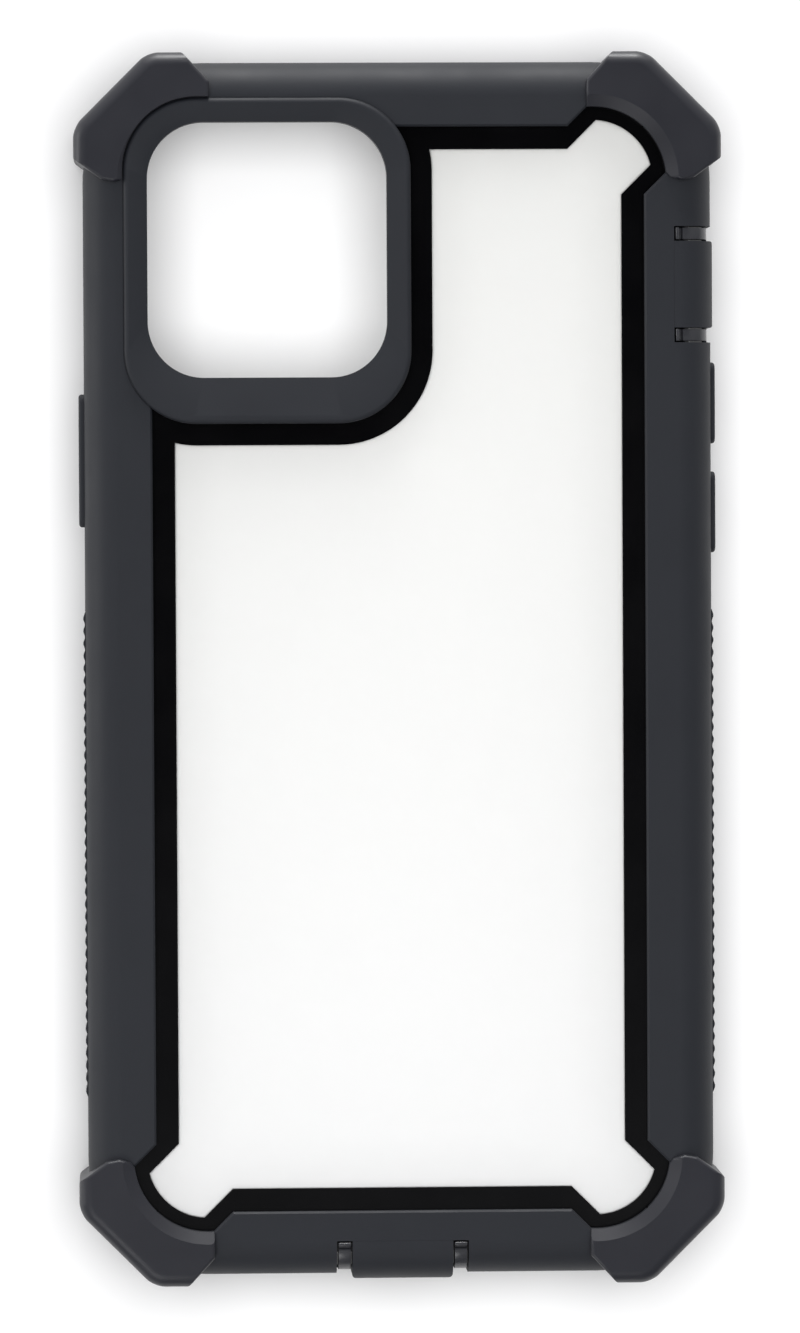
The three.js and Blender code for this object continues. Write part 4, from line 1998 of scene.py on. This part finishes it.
@dataclass(frozen=True)
class Lamp:
    """A square soft lamp that faces the middle of the table, in metres and watts."""

    name: str
    at: tuple[float, float, float]
    size: float
    power: float
    flagged: bool = True

    def hang(self, case: bpy.types.Collection) -> None:
        """Hangs the lamp.

        Args:
            case: What a flagged lamp lights; the flags keep it off the table.
        """
        data = bpy.data.lights.new(self.name, "AREA")
        data.shape = "SQUARE"
        data.size = self.size
        data.energy = self.power
        lamp = bpy.data.objects.new(self.name, data)
        lamp.location = self.at
        lamp.rotation_euler = (-Vector(self.at)).to_track_quat("-Z", "Y").to_euler()
        bpy.context.scene.collection.objects.link(lamp)
        if self.flagged:
            lamp.light_linking.receiver_collection = case
        else:
            lamp.visible_glossy = False


@dataclass(frozen=True)
class Studio:
    """A white table under a polarised softbox, with flagged lamps round the case."""

    lamps: tuple[Lamp, ...] = (
        Lamp("Polarised softbox overhead", (0, 0, 1.2), 1.3, 17.0, flagged=False),
        Lamp("Flagged lamp beyond the top", (0.0, 1.1, 0.12), 0.36, 13.5),
        Lamp("Flagged lamp on the left", (-1.1, 0.2, 0.2), 0.4, 3.5),
        Lamp("Flagged lamp below the case", (-0.22, -0.45, 0.55), 0.3, 1.0),
    )
    table_size: float = 6.0
    table_colour: str = "#f7f7f7"
    table_grain: float = 2.0
    sky_colour: str = "#fdfdff"
    sky: float = 0.75
    sky_behind: float = 0.15
    zenith: float = 0.0
    zenith_axis: tuple[float, float, float] = (0.0, 0.156, 0.988)
    zenith_from: float = 0.91
    zenith_to: float = 0.992
    distance: float = 0.9
    tilt_up: float = 1.56
    tilt_left: float = 2.14
    roll: float = -0.28
    aim: tuple[float, float] = (-0.03, 0.41)
    frame_height: float = 170.9
    sensor: float = 36.0
    clip: tuple[float, float] = (0.01, 20.0)

    def lay_table(self) -> None:
        """Lays the table top, which the case's guards stand on."""
        bm = bmesh.new()
        bmesh.ops.create_grid(bm, x_segments=1, y_segments=1, size=self.table_size / 2)
        mesh = bpy.data.meshes.new("table")
        bm.to_mesh(mesh)
        bm.free()
        table = bpy.data.objects.new("table", mesh)
        bpy.context.scene.collection.objects.link(table)
        material, tree, output = blank_material("Matt white laminate")
        place = add_node(tree, "ShaderNodeTexCoord").outputs["Object"]
        grain = add_node(
            tree,
            "ShaderNodeTexNoise",
            {"Vector": place, "Scale": 1 / (self.table_grain * MM), "Detail": 3.0},
        )
        relief = add_node(
            tree,
            "ShaderNodeBump",
            {"Strength": 0.2, "Distance": 10 * MICRON, "Height": grain.outputs[0]},
        )
        shader = add_node(
            tree,
            "ShaderNodeBsdfPrincipled",
            {
                "Base Color": linear(self.table_colour),
                "Roughness": 0.9,
                "Specular IOR Level": 0.1,
                "Normal": relief.outputs[0],
            },
        )
        tree.links.new(shader.outputs[0], output.inputs["Surface"])
        mesh.materials.append(material)

    def raise_dome(self) -> None:
        """Raises a white dome: dark overhead, where the camera looks in, and dim towards -Y."""
        world = bpy.data.worlds.new("Soft tent")
        world.use_nodes = True
        tree = world.node_tree
        tree.nodes.clear()
        place = add_node(tree, "ShaderNodeTexCoord").outputs["Generated"]
        axes = add_node(tree, "ShaderNodeSeparateXYZ", {0: place})
        around = add_node(
            tree,
            "ShaderNodeMapRange",
            {
                "Value": axes.outputs["Y"],
                "From Min": -1.0,
                "To Min": self.sky_behind,
                "To Max": self.sky,
            },
        )
        overhead = add_node(
            tree,
            "ShaderNodeVectorMath",
            {0: place, 1: self.zenith_axis},
            operation="DOT_PRODUCT",
        )
        strength = add_node(
            tree,
            "ShaderNodeMapRange",
            {
                "Value": overhead.outputs["Value"],
                "From Min": self.zenith_from,
                "From Max": self.zenith_to,
                "To Min": around.outputs[0],
                "To Max": self.zenith,
            },
            interpolation_type="SMOOTHSTEP",
        )
        background = add_node(
            tree,
            "ShaderNodeBackground",
            {"Color": linear(self.sky_colour), "Strength": strength.outputs[0]},
        )
        output = add_node(tree, "ShaderNodeOutputWorld")
        tree.links.new(background.outputs[0], output.inputs["Surface"])
        bpy.context.scene.world = world

    def place_camera(self) -> None:
        """Places the camera, high above the back and a little towards its top."""
        height = self.distance
        target = Vector((*self.aim, Span.of("outer_skin").high.z)) * MM
        up = math.radians(self.tilt_up)
        left = math.radians(self.tilt_left)
        away = Vector((-math.sin(left), math.sin(up), math.cos(up) * math.cos(left))).normalized()
        data = bpy.data.cameras.new("camera")
        data.sensor_width = self.sensor
        data.lens = self.sensor * height / (self.frame_height * MM)
        data.clip_start, data.clip_end = self.clip
        camera = bpy.data.objects.new("camera", data)
        ahead = -away
        sideways = ahead.cross(Vector((0, 1, 0))).normalized()
        upwards = sideways.cross(ahead)
        turn = Matrix((sideways, upwards, -ahead)).transposed()
        roll = Matrix.Rotation(math.radians(self.roll), 3, "Z")
        camera.matrix_world = Matrix.Translation(target + away * height) @ (turn @ roll).to_4x4()
        bpy.context.scene.collection.objects.link(camera)
        bpy.context.scene.camera = camera

    def set_up(self, pieces: Iterable[bpy.types.Object]) -> None:
        """Lays the table, raises the dome, hangs the lamps and places the camera.

        Args:
            pieces: What the flagged lamps light.
        """
        case = bpy.data.collections.new("Case")
        for piece in pieces:
            case.objects.link(piece)
        self.lay_table()
        self.raise_dome()
        for lamp in self.lamps:
            lamp.hang(case)
        self.place_camera()
        settings = bpy.context.scene.view_settings
        settings.view_transform = "Standard"
        settings.look = "None"


def main() -> None:
    """Builds the case and its studio."""
    logging.basicConfig(level=logging.INFO, format="%(name)s: %(message)s", force=True)
    parts = CaseParts(
        skin=OuterSkin(),
        shell=InnerShell(),
        frame=FrontFrame(),
        window=ClearBack(),
        ring=CameraRing(),
        speakers=SpeakerSlots(),
        guards=(
            CornerGuard("guard_top_left", "corner_guard_top_left", -1, 1),
            CornerGuard("guard_top_right", "corner_guard_top_right", 1, 1),
            CornerGuard("guard_bottom_left", "corner_guard_bottom_left", -1, -1),
            CornerGuard("guard_bottom_right", "corner_guard_bottom_right", 1, -1),
        ),
        grips=(
            GripStrip("grip_left", "left_grip_strip", Edge.LEFT),
            GripStrip("grip_right", "right_grip_strip", Edge.RIGHT),
        ),
        buttons=(
            Button("power_key", "power_button", Edge.LEFT, 17.1),
            Button("volume_up_key", "volume_up_button", Edge.RIGHT, 10.45),
            Button("volume_down_key", "volume_down_button", Edge.RIGHT, 10.45),
        ),
        flaps=(
            Flap(
                name="switch_cover",
                node="mute_switch_flap",
                edge=Edge.RIGHT,
                along=Span.of("mute_switch_flap").middle.y,
                width=11.1,
                slot=1.9,
                proud=0.25,
                hinge=-0.35,
                hole=(9.3, 4.6),
                plug=(6.5, 2.2),
                corner_radius=0.4,
            ),
            Flap(
                name="port_cover",
                node="charge_port_flap",
                edge=Edge.BOTTOM,
                along=Span.of("charge_port_flap").middle.x,
                width=12.95,
                slot=2.0,
                proud=0.7,
                hinge=0.05,
                hole=(11.8, 5.4),
                plug=(9.6, 3.4),
                corner_radius=0.7,
            ),
        ),
    )
    pieces = parts.build()
    Studio().set_up(pieces)
    LOG.info("%d pieces built", len(pieces))


if __name__ == "__main__":
    main()
